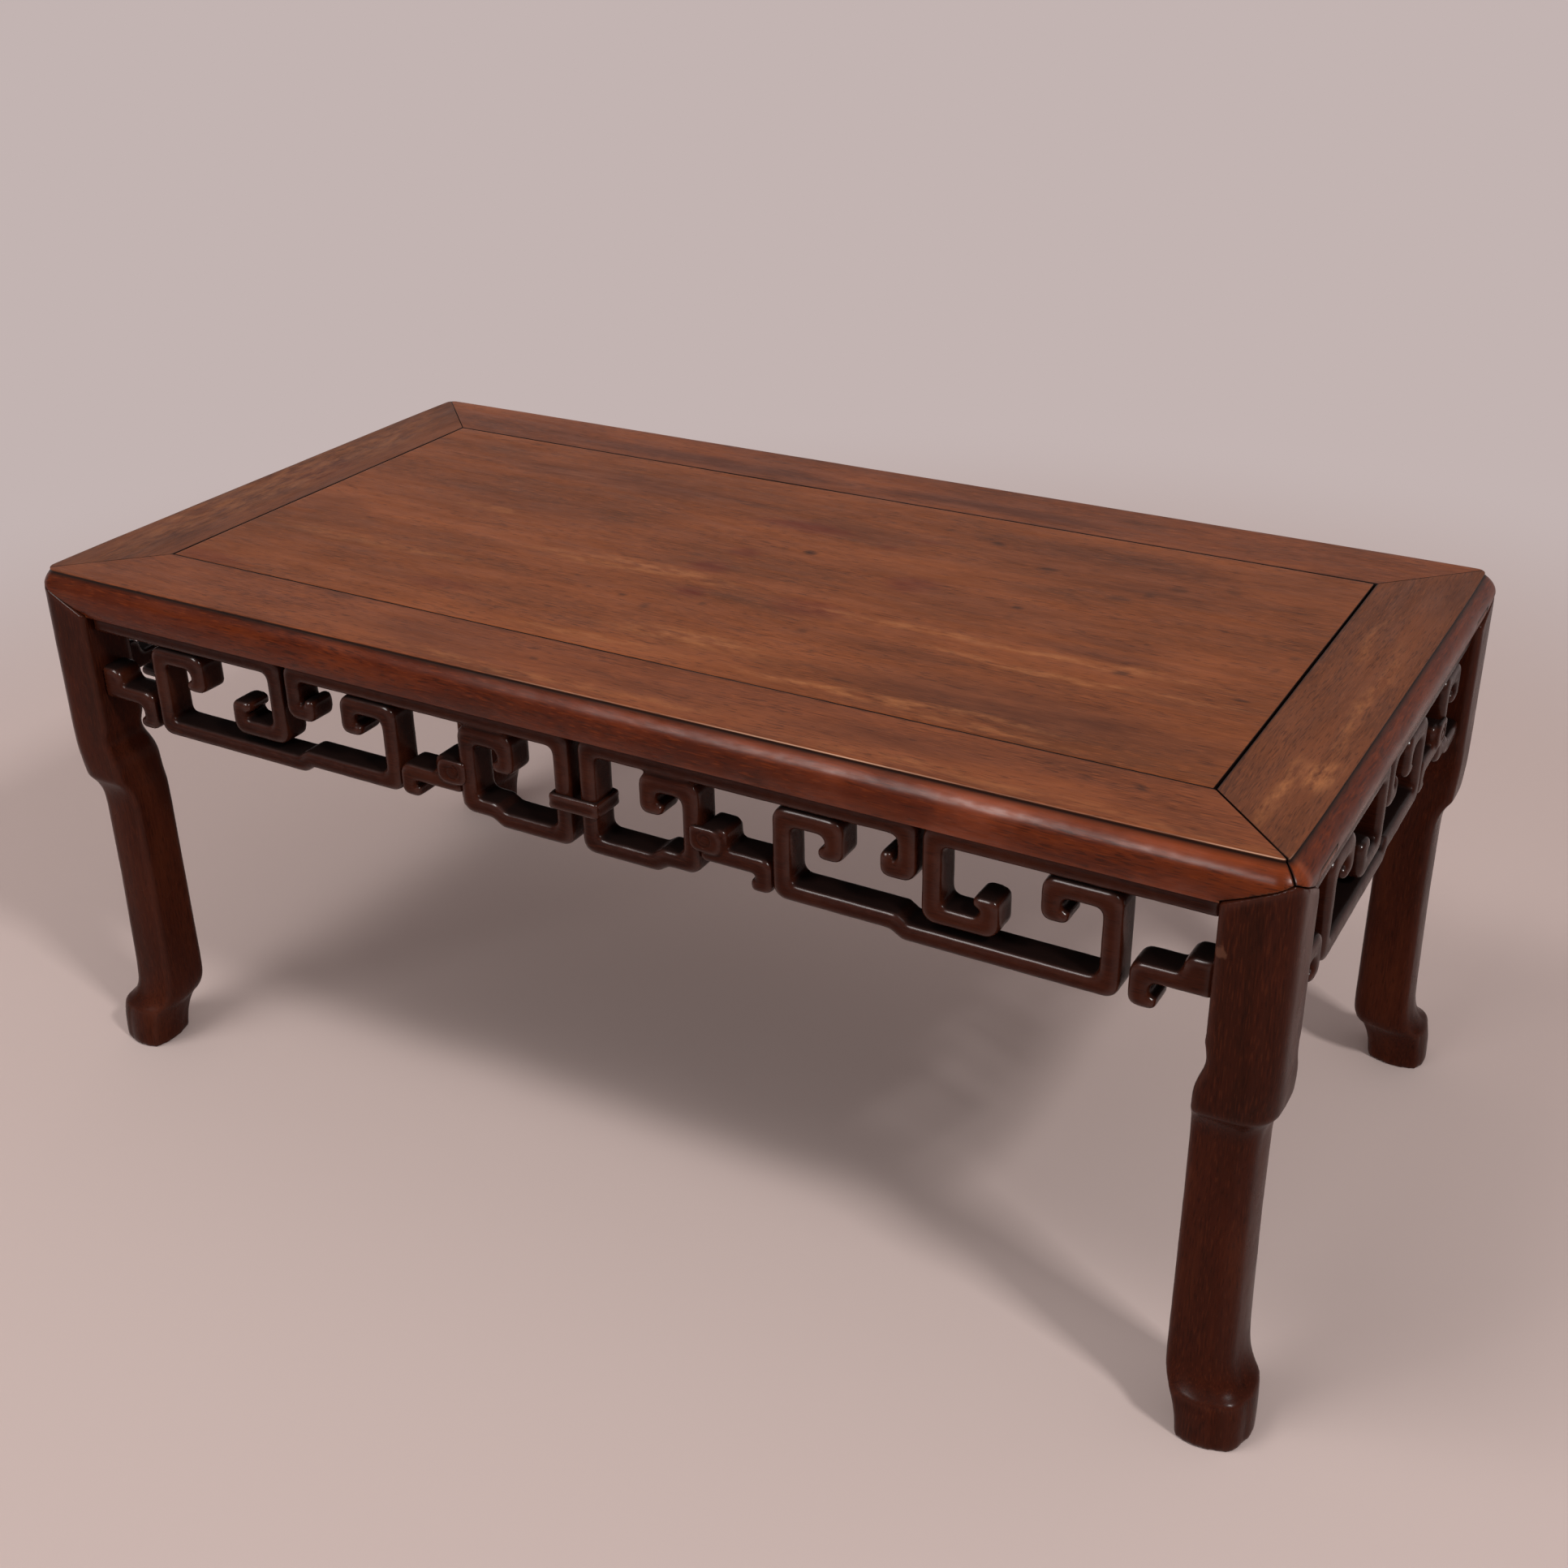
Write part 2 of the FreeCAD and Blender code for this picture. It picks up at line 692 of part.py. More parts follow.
def main():
    """Build every piece, bore the pin holes and write one file for each piece."""
    solids = build_frame()
    for corner, leg in four_corners(leg_solid()).items():
        solids[corner + "_leg"] = leg
    frets, pins = build_frets()
    solids.update(frets)
    all_pins = [pin for group in pins.values() for pin in group]
    for name, solid in solids.items():
        near = [pin for pin in all_pins if pin.BoundBox.intersect(solid.BoundBox)]
        if near:
            solids[name] = solid.cut(near)
    for name, group in pins.items():
        solids[name] = Part.makeCompound(group)
    for name, solid in solids.items():
        solid.exportStep("parts/" + name + ".step")


main()
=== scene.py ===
import math

import bmesh
import bpy
import numpy as np
from mathutils import Matrix, Quaternion, Vector, noise


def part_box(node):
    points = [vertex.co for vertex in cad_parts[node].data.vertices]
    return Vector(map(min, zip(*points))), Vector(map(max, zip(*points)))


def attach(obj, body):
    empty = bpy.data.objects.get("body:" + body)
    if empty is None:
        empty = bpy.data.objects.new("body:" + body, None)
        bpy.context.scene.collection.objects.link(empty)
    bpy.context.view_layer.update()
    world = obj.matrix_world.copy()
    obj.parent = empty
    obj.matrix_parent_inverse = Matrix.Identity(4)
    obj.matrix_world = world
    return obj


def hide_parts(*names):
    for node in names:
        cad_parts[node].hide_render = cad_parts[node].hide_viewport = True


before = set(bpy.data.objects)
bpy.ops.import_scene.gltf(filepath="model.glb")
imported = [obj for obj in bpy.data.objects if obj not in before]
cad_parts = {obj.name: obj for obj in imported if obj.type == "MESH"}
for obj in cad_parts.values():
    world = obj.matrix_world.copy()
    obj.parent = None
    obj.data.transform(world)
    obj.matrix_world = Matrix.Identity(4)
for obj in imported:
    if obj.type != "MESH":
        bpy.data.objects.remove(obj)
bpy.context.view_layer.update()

MM = 0.001

# The camera stands where the photograph was taken from: it looks at a point above
# the middle of the table, turned to its right and tilted a little
view_aim = Vector((18, 0, 215)) * MM
view_azimuth = 30.0
view_elevation = 27.66
view_distance = 1311.5 * MM
view_roll = -0.98
lens_mm = 44.64
sensor_mm = 36.0

# The tint of all lamps, and the one even tone of the backdrop
lamp_tint = "#fffcfa"
backdrop_tint = "#c3b4b2"

# Sizes of the top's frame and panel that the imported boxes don't give
rail_width = 63.0 * MM
corner_radius = 14.0 * MM
edge_ease = 0.5 * MM
mitre_gap = 0.12 * MM
open_mitre_gap = 0.8 * MM
panel_seam = 0.45 * MM
panel_shrink_gap = 1.6 * MM
tongue_rise = 6.0 * MM

# The nosing: how deep the step over it is, how far its widest line lies under the top, and how
# far it turns back in at the underside
quirk_depth = 1.8 * MM
nose_drop = 13.0 * MM
under_inset = 3.5 * MM

# How far in the arris is worn at the near left, near right, far right and far left corner. It
# turns in by a little more right at each corner
corner_wear = (4.5 * MM, 9.2 * MM, 7.0 * MM, 7.0 * MM)
corner_turn_in = 1.2 * MM
corner_turn_reach = 30.0 * MM

# A leg's head: its width, how far its peak stands under the top, how far its mitres fall from
# there to its inner sides, the gap over it at the peak and at the inner sides, the play beside
# it, and how far its top is drawn in under the nosing
leg_head = 39.0 * MM
leg_peak_drop = 7.0 * MM
leg_mitre_fall = 20.0 * MM
peak_gap = 0.3 * MM
foot_gap = 1.0 * MM
head_play = 0.4 * MM
head_draw_in = 10.0 * MM

# The long rails' through tenons: how far they lie under the top, their thickness, where they
# begin and end across the table, the slot's play round them, how much of them shows, and how
# far their ends stand back in the slot
tenon_low = 15.0 * MM
tenon_thickness = 8.0 * MM
tenon_near = 156.0 * MM
tenon_far = 184.0 * MM
tenon_play = 0.9 * MM
tenon_show = 9.0 * MM
tenon_recess = 0.3 * MM

# How far a cut runs past what it cuts, and how near a joint a point counts as part of it
cut_overrun = 5.0 * MM
on_joint = 0.05 * MM

# The roundel's plate, from its own start and top, and the curl cut into it, in mm
roundel_sides = (-5.7, 15.2, -16.6, -0.6)
curl_middle = (4.4, -8.4)
curl_start = 2.4
curl_growth = 2.6
curl_turns = 1.2
curl_depth = 0.9
curl_width = 0.65

# A pale scuff on the near right leg: its middle and its radius, in mm
leg_scuffs = (((384.5, -218.0, 314.0), 3.4),)

# What age has left on the top, as rows of (along, across, half length, half width, strength) in mm:
# dark cloudy patches, red stains, pale worn streaks, rubbed bands, and small knots and spots. The long
# pale streak on the left end rail is painted sheen. The rubbed bands also paint the front nosing
# brighter, as if lit, and put a painted highlight on its arris
top_marks = {
    "dark": (
        (-180, 104, 95, 15, 0.50), (-90, 108, 50, 7, 0.35), (30, 88, 52, 13, 0.40),
        (-235, 28, 110, 24, 0.20), (200, 112, 90, 26, 0.30), (240, 84, 60, 18, 0.30),
        (225, -114, 95, 24, 0.55), (300, -116, 60, 18, 0.35), (245, -28, 42, 7, 0.45),
        (240, -9, 40, 7, 0.30), (170, 8, 60, 17, 0.30), (-150, 172, 130, 9, 0.60), (85, 171, 90, 9, 0.60),
        (175, -185, 70, 11, 0.35), (-130, -184, 60, 13, 0.30), (60, -188, 50, 9, 0.25),
        (-330, -25, 30, 18, 0.30), (-390, -55, 12, 50, 0.35), (-375, -120, 12, 25, 0.35),
        (398, 150, 14, 45, 0.35), (320, 130, 40, 22, 0.25), (120, -75, 60, 10, 0.20)),
    "red": (
        (-10, 80, 32, 9, 0.65), (-22, 22, 10, 9, 0.50), (-28, -13, 12, 10, 0.65), (-17, -52, 10, 9, 0.55),
        (62, -42, 24, 12, 0.50), (102, 22, 18, 12, 0.60), (60, 72, 9, 3, 0.45), (80, 94, 9, 3, 0.35),
        (-330, -147, 28, 8, 0.40), (-165, -115, 26, 8, 0.35), (-385, 20, 16, 30, 0.25)),
    "pale": (
        (-60, -31, 62, 8, 0.45), (-110, -36, 50, 6, 0.35), (-220, 14, 32, 5, 0.30),
        (130, -41, 80, 4, 0.50), (230, -42, 60, 3, 0.50), (285, -38, 45, 3, 0.50), (165, -62, 30, 3, 0.35),
        (235, -65, 62, 4, 0.50), (300, -62, 40, 3, 0.35), (20, -117, 52, 11, 0.45),
        (130, -140, 62, 4, 0.55), (200, -135, 62, 3, 0.50), (230, -147, 50, 3, 0.40),
        (-30, -142, 60, 5, 0.35), (-270, -76, 62, 8, 0.25), (-200, -75, 30, 5, 0.30),
        (265, -203, 140, 4, 0.30), (-60, -203, 80, 4, 0.35), (40, -200, 60, 4, 0.30),
        (398, -118, 9, 17, 0.65), (385, -142, 4, 40, 0.50), (396, -20, 4, 80, 0.35),
        (378, 62, 3, 42, 0.35), (-405, -82, 9, 34, 0.35), (-392, 110, 18, 20, 0.30),
        # The last streak, along the left end rail, is painted sheen: it lightens the rail where a grazing
        # reflection would show
        (-395, 0, 22, 170, 0.30)),
    "rubbed": (
        (285, -207, 150, 9, 1.00), (120, -207, 60, 9, 0.60), (0, -207, 90, 9, 0.35)),
    "knot": (
        (-62, 105, 7, 2, 0.45), (-8, 132, 3, 3, 0.40), (-276, -198, 7, 3, 0.45),
        (-210, -160, 12, 2.5, 0.55), (-85, -158, 10, 2, 0.35), (-52, -76, 3, 2.5, 0.60),
        (-28, -85, 3, 4, 0.60), (-158, -120, 2.5, 2, 0.55), (-105, -116, 11, 3, 0.35),
        (15, 42, 4, 4, 0.70), (120, 112, 5, 3, 0.65), (111, 117, 6, 4, 0.30), (170, 87, 6, 3, 0.60),
        (222, 60, 8, 3.5, 0.60), (237, 73, 4, 5, 0.50), (252, 88, 6, 5, 0.45), (283, 100, 6, 3, 0.40),
        (176, 16, 4, 2, 0.75), (175, 0, 4, 2, 0.45), (340, 0, 2, 4, 0.55), (344, 19, 3, 2, 0.45),
        (263, -45, 4.5, 2.5, 0.75), (336, -49, 5, 1.6, 0.85), (75, -76, 4, 4, 0.40), (92, -99, 3, 2, 0.45),
        (322, -174, 4, 3, 0.70), (295, -175, 2, 2.5, 0.55), (130, -128, 8, 2.5, 0.40),
        (-405, -93, 3, 2, 0.65), (-405, -82, 2, 2, 0.55), (2, -65, 2, 3, 0.55), (-42, -181, 3, 1.5, 0.50),
        (-55, -207, 8, 1.5, 0.40), (82, 120, 3, 1.5, 0.45), (270, 173, 1.5, 3, 0.45)),
}

top_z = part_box("front_rail")[1][2]
under_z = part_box("front_rail")[0][2]
panel_under_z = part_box("top_panel")[0][2]
half_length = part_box("right_end_rail")[1][0]
half_width = -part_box("front_rail")[0][1]
inner_x = half_length - rail_width
inner_y = half_width - rail_width
nose_z = top_z - nose_drop


def colour(code):
    """An sRGB hex value as a linear colour."""
    parts = [int(code[i:i + 2], 16) / 255 for i in (1, 3, 5)]
    return [p / 12.92 if p <= 0.04045 else ((p + 0.055) / 1.055) ** 2.4 for p in parts] + [1]


def add(tree, kind, inputs=None, **settings):
    """Adds a node with its settings. Each input gets a value, or the node or socket that feeds it."""
    node = tree.nodes.new(kind)
    for name, value in settings.items():
        setattr(node, name, value)
    for key, value in (inputs or {}).items():
        socket = node.inputs[key] if isinstance(key, int) else next(
            item for item in node.inputs if item.name == key and item.enabled)
        if isinstance(value, bpy.types.Node):
            value = next(item for item in value.outputs if item.enabled)
        if isinstance(value, bpy.types.NodeSocket):
            tree.links.new(value, socket)
        else:
            socket.default_value = value
    return node


def new_material(name):
    """An empty node material and its tree."""
    material = bpy.data.materials.new(name)
    material.use_nodes = True
    material.node_tree.nodes.clear()
    return material, material.node_tree


def grain_coordinates(tree, axis, seed):
    """Object coordinates turned so that the grain runs along the first of them, with the
    board's own slow waves in them."""
    turn = {"X": (0, 0, 0), "Y": (0, 0, -math.pi / 2), "Z": (0, math.pi / 2, 0)}[axis]
    place = add(tree, "ShaderNodeTexCoord").outputs["Object"]
    turned = add(tree, "ShaderNodeMapping", {"Vector": place, "Rotation": turn,
                                             "Location": (seed, seed / 3, 0)})
    wave = pattern(tree, turned, 230, 80, 1.0)
    shift = add(tree, "ShaderNodeMapRange", {"Value": wave, "To Min": -8 * MM, "To Max": 8 * MM})
    bend = add(tree, "ShaderNodeCombineXYZ", {"Y": shift, "Z": shift})
    return add(tree, "ShaderNodeVectorMath", {0: turned, 1: bend}, operation="ADD")


def pattern(tree, grain, along_mm, across_mm, detail=2.0, roughness=0.5):
    """Noise whose marks are this long along the grain and this wide across it."""
    scale = (1000 / along_mm, 1000 / across_mm, 1000 / across_mm)
    stretched = add(tree, "ShaderNodeVectorMath", {0: grain, 1: scale}, operation="MULTIPLY")
    return add(tree, "ShaderNodeTexNoise", {"Vector": stretched, "Scale": 1.0, "Detail": detail,
                                           "Roughness": roughness})


def overlay(tree, shade, layers):
    """Lays colours over a shade, each by how much its socket says."""
    for amount, code in layers:
        shade = add(tree, "ShaderNodeMix", {"Factor": amount, "A": shade, "B": colour(code)},
                    data_type="RGBA")
    return shade


def hardwood(tree, grain, palette, fibre_depth, pore_colour, pore_amount):
    """Old hardwood: cloudy bands, streaks, fine fibre, pale flecks and short dark pores in drifts.

    Gives its colour and its relief. The palette has dark, middle and light.
    """
    bands = pattern(tree, grain, 330, 38)
    clouds = pattern(tree, grain, 95, 42, 3.0, 0.6)
    streaks = pattern(tree, grain, 120, 5, 3.0, 0.65)
    tone = add(tree, "ShaderNodeMath", {0: clouds, 1: bands}, operation="ADD")
    tone = add(tree, "ShaderNodeMath", {0: streaks, 1: 0.5, 2: tone}, operation="MULTIPLY_ADD")
    ramp = add(tree, "ShaderNodeValToRGB", {
        "Fac": add(tree, "ShaderNodeMapRange", {"Value": tone, "From Min": 0.8, "From Max": 1.7})})
    ramp.color_ramp.elements.new(0.5)
    for stop, code in zip(ramp.color_ramp.elements, palette):
        stop.color = colour(code)
    fibre = pattern(tree, grain, 26, 1.0, 2.0, 0.6)
    tint = add(tree, "ShaderNodeMapRange", {"Value": fibre, "From Min": 0.3, "From Max": 0.7,
                                            "To Min": 1 - fibre_depth, "To Max": 1 + fibre_depth * 0.6})
    fine = add(tree, "ShaderNodeVectorMath", {0: ramp, "Scale": tint}, operation="SCALE")
    # Pores are drawn about twice as wide as real ones, so that they show
    ticks = pattern(tree, grain, 8, 0.8, 0.0)
    drifts = add(tree, "ShaderNodeMapRange", {"Value": pattern(tree, grain, 130, 14), "From Min": 0.35,
                                              "From Max": 0.65, "To Min": -0.07, "To Max": 0.06})
    pores = add(tree, "ShaderNodeMapRange", {
        "Value": add(tree, "ShaderNodeMath", {0: ticks, 1: drifts}, operation="ADD"),
        "From Min": 0.64, "From Max": 0.72, "To Max": pore_amount})
    flecks = add(tree, "ShaderNodeMapRange", {"Value": ticks, "From Min": 0.37, "From Max": 0.27,
                                              "To Max": 0.5})
    shade = overlay(tree, fine, ((flecks, palette[2]), (pores, pore_colour)))
    relief = add(tree, "ShaderNodeMath", {0: fibre, 1: pores}, operation="SUBTRACT")
    return shade, relief


def worn_finish(tree, shade, rough, relief, depth, gloss, polish=0.0, blur=0.2):
    """The surface: wood under a thin rubbed finish that reflects little from straight on, and
    shines where hands have polished it."""
    bump = add(tree, "ShaderNodeBump", {"Height": relief, "Distance": depth})
    surface = add(tree, "ShaderNodeBsdfPrincipled", {
        "Base Color": shade, "Roughness": rough, "Normal": bump, "Specular IOR Level": gloss,
        "Coat Weight": polish, "Coat Roughness": blur})
    add(tree, "ShaderNodeOutputMaterial", {"Surface": surface})


def oiled_hardwood(name, axis, seed, palette):
    """Old hardwood, hand planed, oiled and rubbed. It gives a satin orange brown with cloudy
    dark patches, fine pores and black grime in the seams. The nosing is redder and glossier,
    polished by hands, and the underside is raw and dusty. Where rubbed, the nosing is painted
    brighter as if lit, and its worn arris carries a painted pale highlight. A pale streak on
    the left end rail is painted sheen."""
    material, tree = new_material(name)
    grain = grain_coordinates(tree, axis, seed)
    shade, relief = hardwood(tree, grain, palette, 0.14, "#33190f", 0.5)
    nosing = add(tree, "ShaderNodeAttribute", attribute_name="nosing").outputs["Fac"]
    nosing_palette = ("#331004", "#4a1a07", "#652a0c")
    polished = hardwood(tree, grain, nosing_palette, 0.16, "#200b05", 0.55)[0]
    ragged = pattern(tree, grain, 45, 9, 3.0, 0.6)
    shade = add(tree, "ShaderNodeMix", {"Factor": nosing, "A": shade, "B": polished}, data_type="RGBA")
    uneven = add(tree, "ShaderNodeMapRange", {"Value": ragged, "From Min": 0.3, "From Max": 0.7,
                                              "To Min": 0.55, "To Max": 1.25})
    flakes = pattern(tree, grain, 20, 6, 3.0, 0.7)
    chalky = add(tree, "ShaderNodeMapRange", {"Value": flakes, "From Min": 0.4, "From Max": 0.62,
                                              "To Max": 1.2})
    layers = []
    for mark, code, broken in (("dark", "#40231a", uneven), ("red", "#551e14", uneven),
                               ("pale", "#98603a", chalky), ("knot", "#2a1a14", uneven)):
        amount = add(tree, "ShaderNodeAttribute", attribute_name=mark).outputs["Fac"]
        layers.append((add(tree, "ShaderNodeMath", {0: amount, 1: broken}, operation="MULTIPLY",
                           use_clamp=True), code))
    arris = add(tree, "ShaderNodeAttribute", attribute_name="arris").outputs["Fac"]
    rubbed = add(tree, "ShaderNodeAttribute", attribute_name="rubbed").outputs["Fac"]
    worn_and_lit_arris = add(tree, "ShaderNodeMath", {0: arris, 1: rubbed}, operation="MULTIPLY")
    seam = add(tree, "ShaderNodeAttribute", attribute_name="seam").outputs["Fac"]
    down = add(tree, "ShaderNodeSeparateXYZ", {0: add(tree, "ShaderNodeNewGeometry").outputs["Normal"]})
    under = add(tree, "ShaderNodeMapRange", {"Value": down.outputs["Z"], "From Min": -0.85,
                                             "From Max": -0.97})
    # Painted light: where the front nosing is rubbed, mostly on its right part, it is painted a brighter
    # orange-red, as if the lamp fell stronger there
    rubbed_and_lit_nosing = add(tree, "ShaderNodeMath", {0: nosing, 1: rubbed}, operation="MULTIPLY")
    rubbed_and_lit_nosing = add(tree, "ShaderNodeMath", {0: rubbed_and_lit_nosing, 1: 0.62}, operation="MULTIPLY")
    layers = [(rubbed_and_lit_nosing, "#8f4322")] + layers
    # The worn arris is painted pale: wear, with a painted highlight line along it. Then come the dark seams
    # and the dusty underside
    layers += [(worn_and_lit_arris, "#c79f84"), (seam, "#150b08"), (under, "#4a372b")]
    shade = overlay(tree, shade, layers)
    rough = add(tree, "ShaderNodeMapRange", {"Value": ragged, "From Min": 0.3, "From Max": 0.7,
                                             "To Min": 0.36, "To Max": 0.50})
    rough = add(tree, "ShaderNodeMath", {0: nosing, 1: -0.13, 2: rough}, operation="MULTIPLY_ADD")
    rough = add(tree, "ShaderNodeMath", {0: under, 1: 0.3, 2: rough}, operation="MULTIPLY_ADD")
    spots = pattern(tree, grain, 11, 4, 2.0, 0.6)
    mottled = add(tree, "ShaderNodeMapRange", {"Value": spots, "From Min": 0.35, "From Max": 0.65,
                                               "To Min": 0.08, "To Max": 0.55})
    clean = add(tree, "ShaderNodeMath", {0: nosing, 1: seam}, operation="SUBTRACT", use_clamp=True)
    handled = add(tree, "ShaderNodeMath", {0: rubbed, 1: 0.8, 2: 0.2}, operation="MULTIPLY_ADD")
    handled = add(tree, "ShaderNodeMath", {0: handled, 1: clean}, operation="MULTIPLY")
    polish = add(tree, "ShaderNodeMath", {0: handled, 1: mottled}, operation="MULTIPLY")
    smooth = add(tree, "ShaderNodeMath", {0: nosing, 1: -0.8, 2: 1.0}, operation="MULTIPLY_ADD")
    relief = add(tree, "ShaderNodeMath", {0: relief, 1: smooth}, operation="MULTIPLY")
    worn_finish(tree, shade, rough, relief, 0.04 * MM, gloss=0.10, polish=polish, blur=0.26)
    return material


def dark_lacquered(name, axis, seed, palette, edge_polish, top_shade_strength, scuffs=()):
    """Dark stained and lacquered hardwood: satin, redder and brighter where the finish is rubbed
    on the edges, with pale scuffs. It is painted nearly black in the hollows, for dirt and shade
    there, and on faces that look up, as painted shade from the parts above them."""
    material, tree = new_material(name)
    grain = grain_coordinates(tree, axis, seed)
    shade, relief = hardwood(tree, grain, palette, 0.09, "#120705", 0.35)
    edge = add(tree, "ShaderNodeAttribute", attribute_name="edge").outputs["Fac"]
    worn = add(tree, "ShaderNodeMapRange", {"Value": edge, "From Min": 0.3, "From Max": 1.2, "To Max": 0.3})
    # Painted shade: hollows are painted nearly black for the shade that falls in them, together with the dirt
    # that stays there
    hollow_dirt_and_shade = add(tree, "ShaderNodeMapRange", {"Value": edge, "From Min": -0.15, "From Max": -0.8,
                                             "To Max": 0.8})
    up = add(tree, "ShaderNodeSeparateXYZ", {0: add(tree, "ShaderNodeNewGeometry").outputs["Normal"]})
    # Painted shade: faces that look up are painted nearly black, as the parts above shade them. They are also
    # made rougher
    shaded_dull_tops = add(tree, "ShaderNodeMapRange", {"Value": up.outputs["Z"], "From Min": 0.55, "From Max": 0.95,
                                            "To Max": top_shade_strength})
    shade = overlay(tree, shade, ((worn, "#421f14"), (hollow_dirt_and_shade, "#0d0504"), (shaded_dull_tops, "#0d0605")))
    place = add(tree, "ShaderNodeTexCoord").outputs["Object"]
    blotch = add(tree, "ShaderNodeTexNoise", {"Vector": place, "Scale": 260.0, "Detail": 2.0})
    for middle, radius in scuffs:
        away = add(tree, "ShaderNodeVectorMath", {0: place, 1: Vector(middle) * MM}, operation="DISTANCE")
        reach = add(tree, "ShaderNodeMath", {0: blotch, 1: -1.6 * radius * MM, 2: away},
                    operation="MULTIPLY_ADD")
        scuff = add(tree, "ShaderNodeMapRange", {"Value": reach, "From Min": 0.4 * radius * MM,
                                                 "From Max": 0.0, "To Max": 0.4})
        shade = overlay(tree, shade, ((scuff, "#6a4534"),))
    rough = add(tree, "ShaderNodeMapRange", {"Value": pattern(tree, grain, 40, 25), "From Min": 0.3,
                                             "From Max": 0.7, "To Min": 0.20, "To Max": 0.32})
    rough = add(tree, "ShaderNodeMath", {0: shaded_dull_tops, 1: 0.6, 2: rough}, operation="MULTIPLY_ADD")
    polish = add(tree, "ShaderNodeMapRange", {"Value": edge, "From Min": 0.1, "From Max": 0.9,
                                              "To Max": edge_polish})
    worn_finish(tree, shade, rough, relief, 0.05 * MM, 0.05, polish)
    return material


def raw_wood(name, axis, palette, pore_colour):
    """Unfinished wood, planed but never oiled: pale, dusty and matt."""
    material, tree = new_material(name)
    shade, relief = hardwood(tree, grain_coordinates(tree, axis, 51.0), palette, 0.14, pore_colour, 0.6)
    rough = add(tree, "ShaderNodeMapRange", {"Value": relief, "To Min": 0.6, "To Max": 0.8})
    worn_finish(tree, shade, rough, relief, 0.15 * MM, 0.3)
    return material


def carved_surface_tree():
    """Geometry nodes for a carved piece: eased edges, tool marks, and a mark of how much each point bulges:
    high on edges, which wear, and low in hollows, which the material paints with shade.
    """
    tree = bpy.data.node_groups.new("carved_surface", "GeometryNodeTree")
    face = tree.interface
    face.new_socket("Geometry", in_out="INPUT", socket_type="NodeSocketGeometry")
    for name, kind in (("Easing steps", "NodeSocketInt"), ("Mark depth", "NodeSocketFloat"),
                       ("Marks per metre", "NodeSocketFloat"), ("Edge depth", "NodeSocketFloat"),
                       ("Finish", "NodeSocketMaterial")):
        face.new_socket(name, in_out="INPUT", socket_type=kind)
    face.new_socket("Geometry", in_out="OUTPUT", socket_type="NodeSocketGeometry")
    given = add(tree, "NodeGroupInput").outputs
    place = add(tree, "GeometryNodeInputPosition")
    normal = add(tree, "GeometryNodeInputNormal")
    eased = add(tree, "GeometryNodeBlurAttribute", {"Value": place, "Iterations": given["Easing steps"]},
                data_type="FLOAT_VECTOR")
    smooth = add(tree, "GeometryNodeSetPosition", {"Geometry": given["Geometry"], "Position": eased})
    marks = add(tree, "ShaderNodeTexNoise", {"Vector": place, "Scale": given["Marks per metre"],
                                             "Detail": 1.0})
    centred = add(tree, "ShaderNodeMath", {0: marks, 1: 0.5}, operation="SUBTRACT")
    lift = add(tree, "ShaderNodeMath", {0: centred, 1: given["Mark depth"]}, operation="MULTIPLY")
    offset = add(tree, "ShaderNodeVectorMath", {0: normal, "Scale": lift}, operation="SCALE")
    marked = add(tree, "GeometryNodeSetPosition", {"Geometry": smooth, "Offset": offset})
    around = add(tree, "GeometryNodeBlurAttribute", {"Value": place, "Iterations": 5},
                 data_type="FLOAT_VECTOR")
    out = add(tree, "ShaderNodeVectorMath", {0: place, 1: around}, operation="SUBTRACT")
    bulge = add(tree, "ShaderNodeVectorMath", {0: out, 1: normal}, operation="DOT_PRODUCT")
    edge = add(tree, "ShaderNodeMath", {0: bulge, 1: given["Edge depth"]}, operation="DIVIDE")
    stored = add(tree, "GeometryNodeStoreNamedAttribute", {"Geometry": marked, "Name": "edge", "Value": edge},
                 data_type="FLOAT", domain="POINT")
    rounded = add(tree, "GeometryNodeSetShadeSmooth", {"Geometry": stored})
    real = add(tree, "GeometryNodeRealizeInstances", {"Geometry": rounded})
    done = add(tree, "GeometryNodeSetMaterial", {"Geometry": real, "Material": given["Finish"]})
    add(tree, "NodeGroupOutput", {"Geometry": done})
    return tree


def set_input(modifier, name, value):
    """Sets a geometry nodes modifier's input by its socket's identifier."""
    for item in modifier.node_group.interface.items_tree:
        if item.item_type == "SOCKET" and item.in_out == "INPUT" and item.name == name:
            modifier[item.identifier] = value


def show(name, mesh, slot, *nodes, material=None):
    """Puts a finished mesh in the scene in place of the CAD nodes it stands for."""
    piece = bpy.data.objects.new(name, mesh)
    bpy.context.scene.collection.objects.link(piece)
    if material:
        mesh.materials.clear()
        mesh.materials.append(material)
    for node in nodes:
        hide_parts(node)
    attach(piece, "root")
    return piece


def follow_nosing(mesh):
    """Draws a leg's head in where the nosing beside it turns in, so that the two stay flush."""
    for vert in mesh.vertices:
        if vert.co.z < nose_z:
            continue
        share = (vert.co.z - nose_z) / (nose_drop - quirk_depth)
        inset = head_draw_in * share * share
        vert.co.x = math.copysign(min(abs(vert.co.x), half_length - inset), vert.co.x)
        vert.co.y = math.copysign(min(abs(vert.co.y), half_width - inset), vert.co.y)


def finished_copy(mesh, change):
    """What a mesh becomes with the modifiers that a function puts on it."""
    raw = bpy.data.objects.new("raw", mesh)
    bpy.context.scene.collection.objects.link(raw)
    change(raw)
    depsgraph = bpy.context.evaluated_depsgraph_get()
    result = bpy.data.meshes.new_from_object(raw.evaluated_get(depsgraph))
    bpy.data.objects.remove(raw)
    return result


